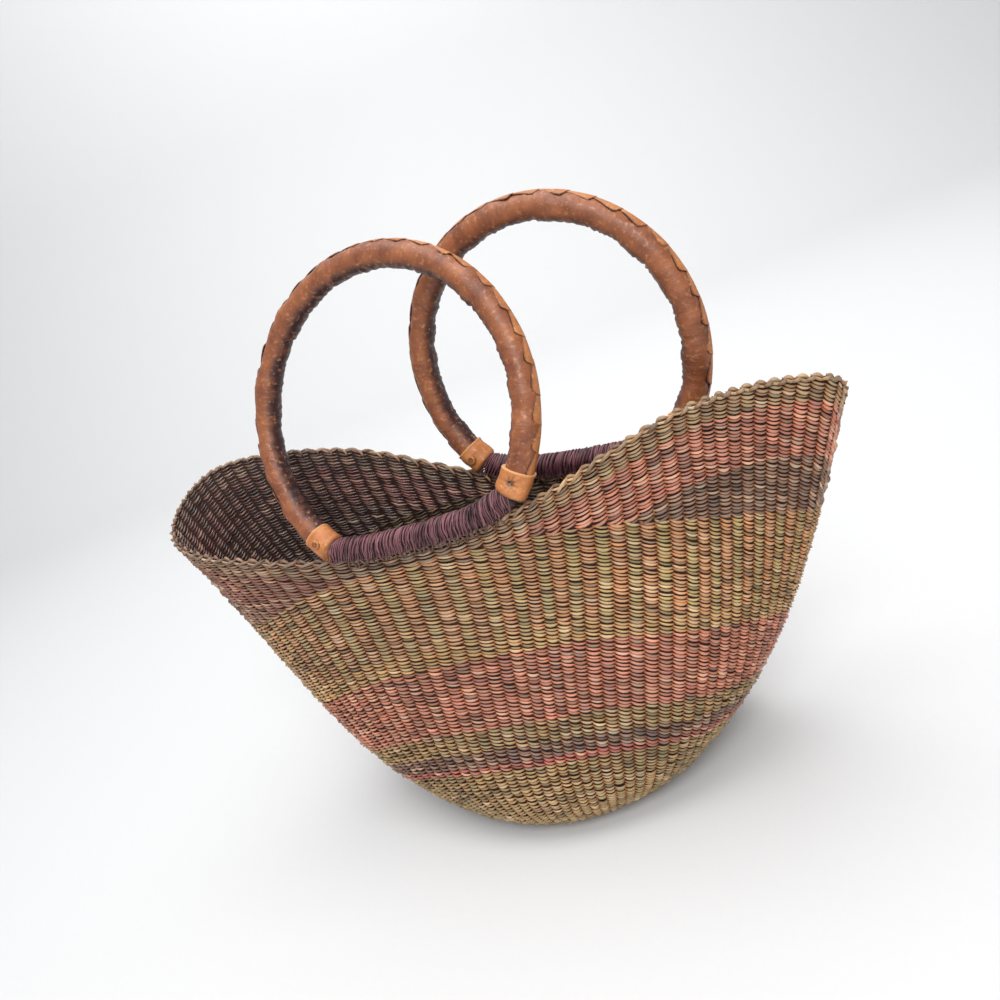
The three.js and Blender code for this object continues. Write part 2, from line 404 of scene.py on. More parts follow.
def stitch_dyes(inside):
    """The colour of every stitch: its band's dye, duller and darker on the left, darker inside, partly as
    painted shade, then varied at random and mixed towards pale straw, partly as painted sheen.
    """
    strand = (cell_column % 2).astype(int)
    row = cell_row.astype(int)
    body = BODY_CHART[np.minimum(row, BODY_ROWS - 1), strand]
    wing = WING_CHART[np.minimum(row, WING_ROWS - 1), strand]
    dye = np.where(cell_is_wing[:, None], wing, body)
    # duller and darker on the left: the field and border go towards grey, the rose wing towards mauve
    left = on_left(mid_angle)
    field = ~cell_is_wing & (cell_row >= FIELD_FIRST_ROW)
    border = cell_is_wing & (cell_row < BORDER_ROWS)
    dulled = (LEFT_DULLING["field"] * field + LEFT_DULLING["border"] * border) * left
    dye = dye * (1 - dulled[:, None]) + DYES["grey border"] * dulled[:, None]
    dusky = LEFT_DULLING["rose wing"] * left * (cell_is_wing & ~border & (cell_row < ROSE_WING_ROWS))
    dye = dye * (1 - dusky[:, None]) + DYES["mauve"] * dusky[:, None]
    # painted shade, partly own colour: the inside takes the dark field colour and is darkened
    if inside:
        dye = np.where(field[:, None], DYES["dark field"], dye) * INSIDE_SHADE
    draw = np.random.default_rng(5 + inside)
    spread = 0.3 if inside else 0.13
    shade = 1 + 0.14 * slow_noise(cell_column, cell_row, 9, 3) + draw.normal(0, spread, CELLS)
    shade = np.maximum(shade, 0.15)
    # pale straw and painted sheen: a share of the stitches is mixed further towards pale straw
    pale = np.where(draw.random(CELLS) < PALE_AND_SHEEN["share"], PALE_AND_SHEEN["seldom"], PALE_AND_SHEEN["often"])
    pale = pale * (PALE_AND_SHEEN["inside"] if inside else 1.0)
    pale = np.clip(pale + draw.normal(0, 0.05, CELLS), 0, 0.6)[:, None]
    dull = draw.random(CELLS) < DULL["share"]
    shade = shade * np.where(dull, DULL["shade"], 1.0)
    warmth = draw.normal(0, 0.05, CELLS)[:, None] * np.array([1.0, 0.0, -0.9])
    dye = dye * (1 - pale) + DYES["pale straw and sheen"] * pale
    return np.clip(dye * (shade[:, None] + warmth), 0.004, 0.92)


dyes = {"outside": stitch_dyes(False), "inside": stitch_dyes(True)}
print("mean dye outside:", dyes["outside"].mean(axis=0).round(2))

# %% [markdown]
# ## A tree that sets stitches on points
# The stitch is small and there are thousands, so one short shape is placed on every point by
# Geometry Nodes. The tree reads each point's direction and size, turns the shape to it, makes the
# copies real and gives them their straw.

# %% Node tree helpers
def add_node(tree, kind, **settings):
    """A new node with its settings."""
    node = tree.nodes.new(kind)
    for name, value in settings.items():
        setattr(node, name, value)
    return node


def new_tree(name, inputs):
    """An empty geometry tree with a geometry output and named inputs."""
    tree = bpy.data.node_groups.new(name, "GeometryNodeTree")
    tree.interface.new_socket("Geometry", in_out="OUTPUT", socket_type="NodeSocketGeometry")
    tree.interface.new_socket("Geometry", in_out="INPUT", socket_type="NodeSocketGeometry")
    for label, kind, value in inputs:
        socket = tree.interface.new_socket(label, in_out="INPUT", socket_type="NodeSocket" + kind)
        if value is not None:
            socket.default_value = value
    return tree, tree.nodes.new("NodeGroupInput"), tree.nodes.new("NodeGroupOutput")


def named_attribute(tree, name, kind):
    """The output of a node that reads a named fact."""
    node = add_node(tree, "GeometryNodeInputNamedAttribute", data_type=kind)
    node.inputs["Name"].default_value = name
    return node.outputs["Attribute"]


def run_tree(carrier, tree, values, name, drop=()):
    """The tree's result on a carrier object, as a plain mesh object at the origin."""
    modifier = carrier.modifiers.new(tree.name, "NODES")
    modifier.node_group = tree
    for item in tree.interface.items_tree:
        if item.item_type == "SOCKET" and item.in_out == "INPUT" and item.name in values:
            modifier[item.identifier] = values[item.name]
    bpy.context.view_layer.update()
    evaluated = carrier.evaluated_get(bpy.context.evaluated_depsgraph_get())
    mesh = bpy.data.meshes.new_from_object(evaluated)
    carrier.modifiers.remove(modifier)
    mesh.name = name
    for label in drop:
        if label in mesh.attributes:
            mesh.attributes.remove(mesh.attributes[label])
    made = bpy.data.objects.new(name, mesh)
    bpy.context.scene.collection.objects.link(made)
    bpy.data.objects.remove(carrier)
    print(name, "has", sum(len(p.vertices) - 2 for p in mesh.polygons), "triangles")
    return made


# %% The stitch tree
def stitch_tree():
    """Sets a shape on each point, turned and sized by the point's facts."""
    tree, given, result = new_tree("Twined stitches", (
        ("Stitch", "Object", None), ("Straw", "Material", None), ("Fullness", "Float", 1.0),
    ))
    turn = add_node(tree, "FunctionNodeAxesToRotation", primary_axis="Z", secondary_axis="X")
    tree.links.new(named_attribute(tree, "outward", "FLOAT_VECTOR"), turn.inputs["Primary Axis"])
    tree.links.new(named_attribute(tree, "along", "FLOAT_VECTOR"), turn.inputs["Secondary Axis"])
    full = add_node(tree, "ShaderNodeVectorMath", operation="SCALE")
    tree.links.new(named_attribute(tree, "size", "FLOAT_VECTOR"), full.inputs[0])
    tree.links.new(given.outputs["Fullness"], full.inputs["Scale"])
    shape = add_node(tree, "GeometryNodeObjectInfo", transform_space="ORIGINAL")
    tree.links.new(given.outputs["Stitch"], shape.inputs["Object"])
    place = add_node(tree, "GeometryNodeInstanceOnPoints")
    tree.links.new(given.outputs["Geometry"], place.inputs["Points"])
    tree.links.new(shape.outputs["Geometry"], place.inputs["Instance"])
    tree.links.new(turn.outputs["Rotation"], place.inputs["Rotation"])
    tree.links.new(full.outputs["Vector"], place.inputs["Scale"])
    real = add_node(tree, "GeometryNodeRealizeInstances")
    tree.links.new(place.outputs["Instances"], real.inputs["Geometry"])
    paint = add_node(tree, "GeometryNodeSetMaterial")
    tree.links.new(real.outputs["Geometry"], paint.inputs["Geometry"])
    tree.links.new(given.outputs["Straw"], paint.inputs["Material"])
    tree.links.new(paint.outputs["Geometry"], result.inputs["Geometry"])
    return tree


STITCH_TREE = stitch_tree()
POINT_FACTS = ("along", "outward", "size")


def point_cloud(name, points, facts):
    """A mesh of loose points that carry named facts."""
    mesh = bpy.data.meshes.new(name)
    mesh.from_pydata(points.tolist(), [], [])
    for label, (kind, values) in facts.items():
        attribute = mesh.attributes.new(label, kind, "POINT")
        field = "value" if kind == "FLOAT" else "color" if kind == "FLOAT_COLOR" else "vector"
        attribute.data.foreach_set(field, np.ascontiguousarray(values, dtype=np.float32).ravel())
    carrier = bpy.data.objects.new(name, mesh)
    bpy.context.scene.collection.objects.link(carrier)
    return carrier


def set_strands(name, points, shape, straw, along, outward, size, dye=None, tone=None):
    """Strands of one shape on points, each with its own directions, size and dye."""
    facts = {
        "along": ("FLOAT_VECTOR", along),
        "outward": ("FLOAT_VECTOR", outward),
        "size": ("FLOAT_VECTOR", size),
    }
    if dye is not None:
        facts["dye"] = ("FLOAT_COLOR", np.column_stack([dye, np.ones(len(points))]))
        facts["tone"] = ("FLOAT", tone)
    values = {"Stitch": shape, "Straw": straw, "Fullness": 1.0}
    return run_tree(point_cloud(name + "_points", points, facts), STITCH_TREE, values, name, POINT_FACTS)


print("facts that the tree reads:", POINT_FACTS)

# %% [markdown]
# ## One stitch
# Seen from outside, a strand dives out of the dark between two ribs, swells over a rib and dives
# back, hanging a little lower in the middle. The shape is a closed spindle of few faces with a
# four-sided section. It is one unit long, one row high, and its depth is in millimetres.

# %% Stitch shape
STRAND_REACH = 0.62


def spindle(name, stations, sag, lift, half_height, depth):
    """A closed strand along X that bulges along Z, with a tip at each end."""
    section = ((1.0, -0.1), (0.12, 0.94), (-1.0, -0.1), (0.0, -1.0))
    points = []
    for x in stations:
        full = (1 - (x / STRAND_REACH) ** 2) ** 0.5
        middle_y = sag * ((2 * x) ** 2 - 0.4)
        middle_z = lift * (1 - (2 * x) ** 2)
        for across, out in section:
            points.append((x, middle_y + across * half_height * full, middle_z + out * depth * full))
    sides = len(section)
    faces = []
    for ring in range(len(stations) - 1):
        for k in range(sides):
            a, b = ring * sides + k, ring * sides + (k + 1) % sides
            faces.append((a, b, b + sides, a + sides))
    for end, ring in ((-STRAND_REACH, 0), (STRAND_REACH, len(stations) - 1)):
        tip = len(points)
        points.append((end, sag * ((2 * end) ** 2 - 0.4), lift * (1 - (2 * end) ** 2)))
        for k in range(sides):
            a, b = ring * sides + k, ring * sides + (k + 1) % sides
            faces.append((tip, b, a) if ring == 0 else (tip, a, b))
    mesh = bpy.data.meshes.new(name)
    mesh.from_pydata(points, [], faces)
    mesh.shade_smooth()
    work = bmesh.new()
    work.from_mesh(mesh)
    bmesh.ops.recalc_face_normals(work, faces=work.faces)
    strand = work.loops.layers.uv.new("Strand")
    for face in work.faces:
        for loop in face.loops:
            loop[strand].uv = (loop.vert.co.x, loop.vert.co.y)
    work.to_mesh(mesh)
    work.free()
    return bpy.data.objects.new(name, mesh)


OUTER_STITCH = spindle("outer_stitch", (-0.48, -0.26, 0.0, 0.26, 0.48), 0.30, 1.0, 0.40, 0.95)
INNER_STITCH = spindle("inner_stitch", (-0.45, 0.0, 0.45), 0.34, 1.0, 0.44, 0.9)
for stitch in (OUTER_STITCH, INNER_STITCH):
    print(stitch.name, "has", len(stitch.data.polygons), "faces")

# %% [markdown]
# ## Straw material
# Dyed grass is a flat fibrous strand with a soft shine. Fine lines run along it, so the pattern
# follows the strand's own coordinates. The dye comes from the stitch, and a slow noise fades it.
# Pale fibres, partly real and partly painted sheen, are mixed towards pale straw. The ends of a
# stitch are tinted brown as painted shade of light bounced from straw to straw between the ribs.

# %% Shader helpers
def new_material(name, roughness):
    """A material with nodes, its tree and its shader."""
    material = bpy.data.materials.new(name)
    material.use_nodes = True
    shader = material.node_tree.nodes["Principled BSDF"]
    shader.inputs["Roughness"].default_value = roughness
    return material, material.node_tree, shader


def math_node(tree, operation, first, second):
    """The result of a sum on two numbers or sockets."""
    node = add_node(tree, "ShaderNodeMath", operation=operation)
    for socket, value in zip(node.inputs, (first, second)):
        if isinstance(value, (int, float)):
            socket.default_value = value
        else:
            tree.links.new(value, socket)
    return node.outputs[0]


def noise(tree, vector, scale, detail=3.0):
    """A cloudy pattern, from 0 to 1."""
    node = add_node(tree, "ShaderNodeTexNoise")
    node.inputs["Scale"].default_value = scale
    node.inputs["Detail"].default_value = detail
    tree.links.new(vector, node.inputs["Vector"])
    return node.outputs["Fac"]


def mapped(tree, vector, scale):
    """Coordinates that are stretched by a scale."""
    node = add_node(tree, "ShaderNodeMapping")
    node.inputs["Scale"].default_value = scale
    tree.links.new(vector, node.inputs["Vector"])
    return node.outputs["Vector"]


def scale_color(tree, color, factor):
    """A colour made lighter or darker."""
    node = add_node(tree, "ShaderNodeVectorMath", operation="SCALE")
    tree.links.new(color, node.inputs[0])
    tree.links.new(factor, node.inputs["Scale"])
    return node.outputs["Vector"]


def mix_color(tree, factor, first, second):
    """A colour between two, each a socket or three numbers."""
    node = add_node(tree, "ShaderNodeMix", data_type="RGBA")
    tree.links.new(factor, node.inputs["Factor"])
    sockets = [s for s in node.inputs if s.type == "RGBA"]
    for socket, color in zip(sockets, (first, second)):
        if isinstance(color, bpy.types.NodeSocket):
            tree.links.new(color, socket)
        else:
            socket.default_value = (*color, 1)
    return [s for s in node.outputs if s.type == "RGBA"][0]


def range_node(tree, value, low, high):
    """A share from 0 to 1 turned into a number between two others."""
    node = add_node(tree, "ShaderNodeMapRange")
    node.inputs["To Min"].default_value = low
    node.inputs["To Max"].default_value = high
    tree.links.new(value, node.inputs["Value"])
    return node.outputs["Result"]


def bump(tree, shader, height, distance, strength=1.0):
    """Fine relief, too small for the mesh."""
    node = add_node(tree, "ShaderNodeBump")
    node.inputs["Distance"].default_value = distance
    node.inputs["Strength"].default_value = strength
    tree.links.new(height, node.inputs["Height"])
    tree.links.new(node.outputs["Normal"], shader.inputs["Normal"])


print("shader helpers are ready")


# %% Straw
def straw_material(name, shine, dull, glossy, pale_fibre_sheen, painted_shade_tint):
    """Dyed straw with pale glossy fibres, partly painted sheen, and a deeper tint of painted shade where it
    dives between the ribs.
    """
    material, tree, shader = new_material(name, dull)
    shader.inputs["Specular IOR Level"].default_value = shine
    dye = add_node(tree, "ShaderNodeAttribute", attribute_name="dye")
    tone = add_node(tree, "ShaderNodeAttribute", attribute_name="tone")
    strand = add_node(tree, "ShaderNodeUVMap", uv_map="Strand")
    shifted = add_node(tree, "ShaderNodeVectorMath", operation="ADD")
    tree.links.new(strand.outputs["UV"], shifted.inputs[0])
    far_apart = math_node(tree, "MULTIPLY", tone.outputs["Fac"], 37.0)
    tree.links.new(scale_color(tree, tone.outputs["Vector"], far_apart), shifted.inputs[1])
    fibre = noise(tree, mapped(tree, shifted.outputs["Vector"], (2.0, 14.0, 1.0)), 1.0, 4.0)
    body = add_node(tree, "ShaderNodeTexCoord")
    fade = noise(tree, body.outputs["Object"], 60.0, 2.0)
    streak = range_node(tree, fibre, 0.8, 1.2)
    streak = math_node(tree, "MULTIPLY", streak, range_node(tree, fade, 0.85, 1.15))
    color = scale_color(tree, dye.outputs["Color"], streak)
    # pale fibres and painted sheen: bright fibres are mixed towards pale straw
    color = mix_color(tree, range_node(tree, fibre, -pale_fibre_sheen, 2 * pale_fibre_sheen), color, DYES["pale straw and sheen"])
    # painted shade: towards its ends, where it dives between the ribs, the stitch takes the darker tint
    place = add_node(tree, "ShaderNodeSeparateXYZ")
    tree.links.new(strand.outputs["UV"], place.inputs[0])
    from_middle = math_node(tree, "ABSOLUTE", place.outputs["X"], 0.0)
    shade_share = add_node(tree, "ShaderNodeMapRange")
    shade_share.inputs["From Min"].default_value = 0.22
    shade_share.inputs["From Max"].default_value = 0.56
    tree.links.new(from_middle, shade_share.inputs["Value"])
    shaded_color = add_node(tree, "ShaderNodeVectorMath", operation="MULTIPLY")
    tree.links.new(color, shaded_color.inputs[0])
    shaded_color.inputs[1].default_value = painted_shade_tint
    color = mix_color(tree, shade_share.outputs["Result"], color, shaded_color.outputs["Vector"])
    tree.links.new(color, shader.inputs["Base Color"])
    tree.links.new(range_node(tree, fibre, dull, glossy), shader.inputs["Roughness"])
    bump(tree, shader, fibre, 0.25 * MM, 0.7)
    return material


# the last two numbers are the share of pale fibres and painted sheen, and the tint of the painted shade at
# the stitch ends
STRAW = straw_material("dyed straw", 0.5, 0.6, 0.38, 0.16, (0.85, 0.46, 0.2))
INNER_STRAW = straw_material("dark straw inside", 0.9, 0.42, 0.2, 0.04, (0.3, 0.16, 0.12))
print("straw materials:", STRAW.name, "and", INNER_STRAW.name)

# %% [markdown]
# ## Setting the stitches
# A stitch doesn't run level. On the outside it falls to the right over its rib, most of all at the
# tip of the right wing, and on the left wing it follows the rim. Length, height and place vary a
# little. The outer face is made in three pieces and the inner face in two, to keep each mesh small.

# %% Set the stitches
LEAN = {"base": -0.6 * MM, "body": -1.5 * MM, "wing": -1.1 * MM, "right tip": -0.8 * MM, "inside": 0.3 * MM}
BULGE = {"outside": 1.6 * MM, "inside": 1.9 * MM}
JITTER = {"slant": 0.30 * MM, "rise": 0.16 * MM, "depth": 0.18 * MM, "height": 0.12, "fullness": 0.18}
LOW_ROWS = 41
MIDDLE_ROWS = 78
INSIDE_LOW_ROWS = 56


def stitch_lean(inside):
    """How far each stitch falls to the right over its length."""
    if inside:
        return np.full(CELLS, LEAN["inside"])
    right_tip = np.clip((np.cos(np.radians(mid_angle)) - 0.8) / 0.2, 0, 1)
    body = np.where(cell_row < BASE_ROWS, LEAN["base"], LEAN["body"])
    wing = LEAN["wing"] * (1 - on_left(mid_angle)) + LEAN["right tip"] * right_tip
    return np.where(cell_is_wing, wing, body)


def stitches(name, chosen, inside):
    """The stitches of some cells, on the outer or the inner face."""
    side = "inside" if inside else "outside"
    depth_in = WALL if inside else 0
    normal = cell_normal[chosen]
    start = wall_point(start_angle, start_share)[chosen] - normal * depth_in
    end = wall_point(end_angle, end_share)[chosen] - normal * depth_in
    middle = (start + end) / 2
    true_middle = wall_point(mid_angle, mid_share)[chosen] - normal * depth_in
    facing = -normal if inside else normal
    count = chosen.sum()
    along = (end - start) * (-1 if inside else 1)
    jitter = np.random.default_rng(11 + inside)
    up = np.cross(facing, unit(along))
    along = along + up * (jitter.normal(0, JITTER["slant"], count) + stitch_lean(inside)[chosen])[:, None]
    rise = up * jitter.normal(0, JITTER["rise"], count)[:, None]
    rise += facing * jitter.normal(0, JITTER["depth"], count)[:, None]
    pitch = np.where(cell_is_wing[chosen], WING_PITCH, ROW_PITCH)
    height = pitch * jitter.normal(1.0, JITTER["height"], count)
    fullness = MM * jitter.normal(1.0, JITTER["fullness"], count)
    size = np.stack([np.linalg.norm(along, axis=1), height, fullness], 1)
    points = (middle + true_middle) / 2 - facing * BULGE[side] + rise
    shape, straw = (INNER_STITCH, INNER_STRAW) if inside else (OUTER_STITCH, STRAW)
    dye, tone = dyes[side][chosen], jitter.random(count)
    return set_strands(name, points, shape, straw, along, facing, size, dye, tone)


def own(piece, slot, *nodes):
    """The piece rides with the basket and stands for these solids."""
    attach(piece, "root")
    if nodes:
        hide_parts(*nodes)
    return piece


low_rows = ~cell_is_wing & (cell_row < LOW_ROWS)
middle_rows = ~cell_is_wing & (cell_row >= LOW_ROWS) & (cell_row < MIDDLE_ROWS)
high_rows = cell_is_wing | (cell_row >= MIDDLE_ROWS)
for label, chosen in (("low", low_rows), ("middle", middle_rows), ("high", high_rows)):
    own(stitches(f"stitches_outside_{label}", chosen, False), "straw", "woven_body")
inside_low = ~cell_is_wing & (cell_row < INSIDE_LOW_ROWS)
own(stitches("stitches_inside_low", inside_low, True), "straw")
own(stitches("stitches_inside_high", ~inside_low, True), "straw")
print("stitches on each face:", CELLS)

# %% [markdown]
# ## The dark core
# Behind the stitches the ribs and the backs of the strands close the wall. One thin shell stands
# for them, so nothing shows through, and its near-black brown is painted shade in the gaps.

# %% Core shell
CORE_DEPTHS = (1.5 * MM, 2.6 * MM)
CORE_BELOW_RIM = 1 * MM


def grid_mesh(name, rings):
    """A smooth mesh from rings of points, with the first and last ring closed to a middle point."""
    rings = np.asarray(rings)
    count, sides = rings.shape[:2]
    points = rings.reshape(-1, 3).tolist()
    faces = []
    for ring in range(count - 1):
        for k in range(sides):
            a, b = ring * sides + k, ring * sides + (k + 1) % sides
            faces.append((a, b, b + sides, a + sides))
    for ring in (0, count - 1):
        points.append(rings[ring].mean(axis=0).tolist())
        for k in range(sides):
            a, b = ring * sides + k, ring * sides + (k + 1) % sides
            faces.append((len(points) - 1, b, a) if ring == 0 else (len(points) - 1, a, b))
    mesh = bpy.data.meshes.new(name)
    mesh.from_pydata(points, [], faces)
    work = bmesh.new()
    work.from_mesh(mesh)
    bmesh.ops.recalc_face_normals(work, faces=work.faces)
    work.to_mesh(mesh)
    work.free()
    mesh.shade_smooth()
    made = bpy.data.objects.new(name, mesh)
    bpy.context.scene.collection.objects.link(made)
    return made


def core_shell():
    """A thin closed shell inside the wall."""
    angles = np.arange(0, 360, 3.0)
    shares = np.linspace(0, 1, 41)
    rings = []
    for depth, order in zip(CORE_DEPTHS, (shares, shares[::-1])):
        for share in order:
            at = np.full_like(angles, share)
            ring = wall_point(angles, at) - wall_normal(angles, at) * depth
            if share == 1:
                ring[:, 2] -= CORE_BELOW_RIM
            rings.append(ring)
    return grid_mesh("wall_core", rings)


def plain_material(name, color, roughness, grain, depth, spread=0.4):
    """A quiet rough finish: one colour broken by noise, with a little relief."""
    material, tree, shader = new_material(name, roughness)
    body = add_node(tree, "ShaderNodeTexCoord")
    mottle = noise(tree, body.outputs["Object"], grain)
    base = add_node(tree, "ShaderNodeRGB")
    base.outputs[0].default_value = (*color, 1)
    color = scale_color(tree, base.outputs[0], range_node(tree, mottle, 1 - spread, 1 + spread))
    tree.links.new(color, shader.inputs["Base Color"])
    bump(tree, shader, mottle, depth)
    return material


# painted shade: the core is near-black brown, so the gaps between stitches look dark
CORE_SHADE = plain_material("core with painted shade", linear(40, 15, 5), 0.85, 900.0, 0.3 * MM)
core = core_shell()
core.data.materials.append(CORE_SHADE)
own(core, "straw")
print("core faces:", len(core.data.polygons))

# %% [markdown]
# ## The base
# The basket was begun in the middle of its base, so the stitches there run in oval rounds. The
# underside and the floor inside are worked the same way.

# %% Base rounds
BASE_STITCH = {"length": 6.0 * MM, "thick": 0.8 * MM}


def base_rounds(name, height, facing, share_of_edge):
    """Oval rounds of stitches, one inside the other, facing up or down."""
    rounds = int(BASE_HALF_WIDTH * share_of_edge / ROW_PITCH)
    points, along, width = [], [], []
    for k in range(rounds):
        share = (k + 0.5) / rounds * share_of_edge
        half_length = BASE_HALF_LENGTH * share
        half_width = BASE_HALF_WIDTH * share
        girth = math.pi * (half_length + half_width)
        count = max(5, 2 * round(girth / (2 * BASE_STITCH["length"])))
        turn = (np.arange(count) + 0.25 * k) / count * 2 * np.pi
        x, y = half_length * np.cos(turn), half_width * np.sin(turn)
        points.append(np.column_stack([x, y, np.full(count, height)]))
        x, y = -half_length * np.sin(turn), half_width * np.cos(turn)
        along.append(np.column_stack([x, y, np.zeros(count)]) * facing)
        width.append(np.full(count, girth / count))
    points, along, width = np.concatenate(points), np.concatenate(along), np.concatenate(width)
    count = len(points)
    draw = np.random.default_rng(21)
    dye = DYES["olive"] * draw.normal(0.95, 0.15, (count, 1))
    size = np.stack([width, np.full(count, ROW_PITCH * 1.02), np.full(count, BASE_STITCH["thick"])], 1)
    outward = np.tile([0.0, 0.0, facing], (count, 1))
    dye, tone = np.clip(dye, 0.01, 0.9), draw.random(count)
    return set_strands(name, points, INNER_STITCH, STRAW, along, outward, size, dye, tone)


own(base_rounds("base_underside", 2.0 * MM, -1.0, 1.0), "straw")
own(base_rounds("base_floor", 2.6 * MM, 1.0, 0.97), "straw")
print("the base is", round(2 * BASE_HALF_LENGTH / MM), "by", round(2 * BASE_HALF_WIDTH / MM), "mm")

# %% [markdown]
# ## The rim
# The border ends in a cord: the last strands are twisted along the top edge, and each twist shows
# as one short slanted swelling over a column. Two lines of them, leaning over each other, make
# the edge look like a cord from the outside and from the inside.

# %% Rim cord
RIM_TWIST = {
    "length": 0.775, "spread": 0.05, "thick": 1.3 * MM,
    "slant": math.radians(26), "apart": 1.0 * MM, "drop": 1.2 * MM,
}


def rim_cord():
    """Two lines of short twists along the top edge."""
    columns = np.arange(COLUMNS * 2) / 2
    side = np.where(np.arange(len(columns)) % 2 == 0, 1.0, -1.0)
    angle = column_angle(columns, rib_length(np.zeros_like(columns)))
    top = np.ones_like(angle)
    normal = wall_normal(angle, top)
    here = wall_point(angle, top)
    there = wall_point(column_angle(columns + 1, rib_length(angle)), top)
    along = unit(there - here)
    pitch = np.linalg.norm(there - here, axis=1)
    up = unit(np.cross(normal, along))
    draw = np.random.default_rng(31)
    lean = RIM_TWIST["slant"] + draw.normal(0, 0.12, len(angle))
    along = along * np.cos(lean)[:, None] + normal * (np.sin(lean) * -side)[:, None]
    outward = unit(up + normal * (0.5 * side)[:, None])
    middle = here - normal * (WALL / 2) - up * RIM_TWIST["drop"]
    points = middle + normal * (RIM_TWIST["apart"] * side)[:, None]
    thick = np.full(len(angle), RIM_TWIST["thick"])
    long = pitch * draw.normal(RIM_TWIST["length"], RIM_TWIST["spread"], len(angle))
    size = np.stack([long, thick * 2, thick], 1)
    even = (np.arange(len(angle)) % 4 < 2)[:, None]
    dye = np.where(even, DYES["straw border"], DYES["olive border"])
    left = 0.8 * on_left(angle)[:, None]
    dye = dye * (1 - left) + DYES["grey border"] * left
    dye = np.clip(dye * draw.normal(0.8, 0.2, (len(angle), 1)), 0.01, 0.9)
    tone = draw.random(len(angle))
    return set_strands("rim_cord", points, OUTER_STITCH, STRAW, along, outward, size, dye, tone)


own(rim_cord(), "straw")
print("twists along the rim:", 2 * COLUMNS)

# %% [markdown]
# ## The hoops
# Each handle is a hoop of reeds in a leather cover. It stands on two points of the rim and leans
# back, so its plane, centre and ends follow from those two points and one radius, as they do in
# the solid model.

# %% Hoop layout
HANDLE_RADIUS = 8 * MM
CAP_LENGTH = 14 * MM
CAP_RADIUS = 9.2 * MM
PEG_RADIUS = 3 * MM
WRAP_RADIUS = 6.5 * MM
WRAP_LIFT = 0.7 * MM
HANDLES = {
    "front": {
        "radius": 88.5, "left_at": 248, "right_at": 300, "left_rise": 8, "right_rise": 9.5, "lean": 22.5,
    },
    "back": {
        "radius": 81.5, "left_at": 93.5, "right_at": 57, "left_rise": 8.5, "right_rise": 8.5, "lean": 3.5,
    },
}


def edge_point(angle, rise):
    """A point above the middle of the wall's top edge."""
    angle = np.atleast_1d(np.asarray(angle, float))
    top = np.ones_like(angle)
    middle = wall_point(angle, top) - wall_normal(angle, top) * WALL / 2
    return middle + np.array([0, 0, rise])


def hoop_layout(name):
    """The centre, plane and end turns of a hoop, from its two feet on the rim."""
    handle = HANDLES[name]
    left = edge_point(handle["left_at"], handle["left_rise"] * MM)[0]
    right = edge_point(handle["right_at"], handle["right_rise"] * MM)[0]
    along = unit(right - left)
    backward = np.array([0.0, 1.0, 0.0])
    plain_back = unit(backward - along * along[1])
    plain_up = np.cross(along, plain_back)
    lean = math.radians(handle["lean"])
    up = plain_up * math.cos(lean) + plain_back * math.sin(lean)
    half_chord = np.linalg.norm(right - left) / 2
    rise = math.sqrt((handle["radius"] * MM) ** 2 - half_chord**2)
    first = -math.atan2(rise, half_chord)
    return {
        "name": name, "radius": handle["radius"] * MM, "along": along, "up": up,
        "side": np.cross(along, up), "center": (left + right) / 2 + up * rise,
        "first": first, "last": math.pi - first, "left_at": handle["left_at"], "right_at": handle["right_at"],
    }


def hoop_frames(hoop, turns):
    """Centres of the bar and directions away from the hoop's middle, at some turns."""
    out = np.cos(turns)[:, None] * hoop["along"] + np.sin(turns)[:, None] * hoop["up"]
    return hoop["center"] + out * hoop["radius"], out


HOOPS = {name: hoop_layout(name) for name in HANDLES}
print("hoop radii in mm:", [round(hoop["radius"] / MM, 1) for hoop in HOOPS.values()])

# %% [markdown]
# ## Leather
# The cover is goatskin, dyed red-brown. It is mottled and a little glossy, with golden flecks of
# painted highlight. It is darker on the inner bend and in its folds, partly stain and partly
# painted shade, and pale where it is cut. The mesh carries two facts for this: how far round to
# the inner bend a point lies, and how freshly it is cut.

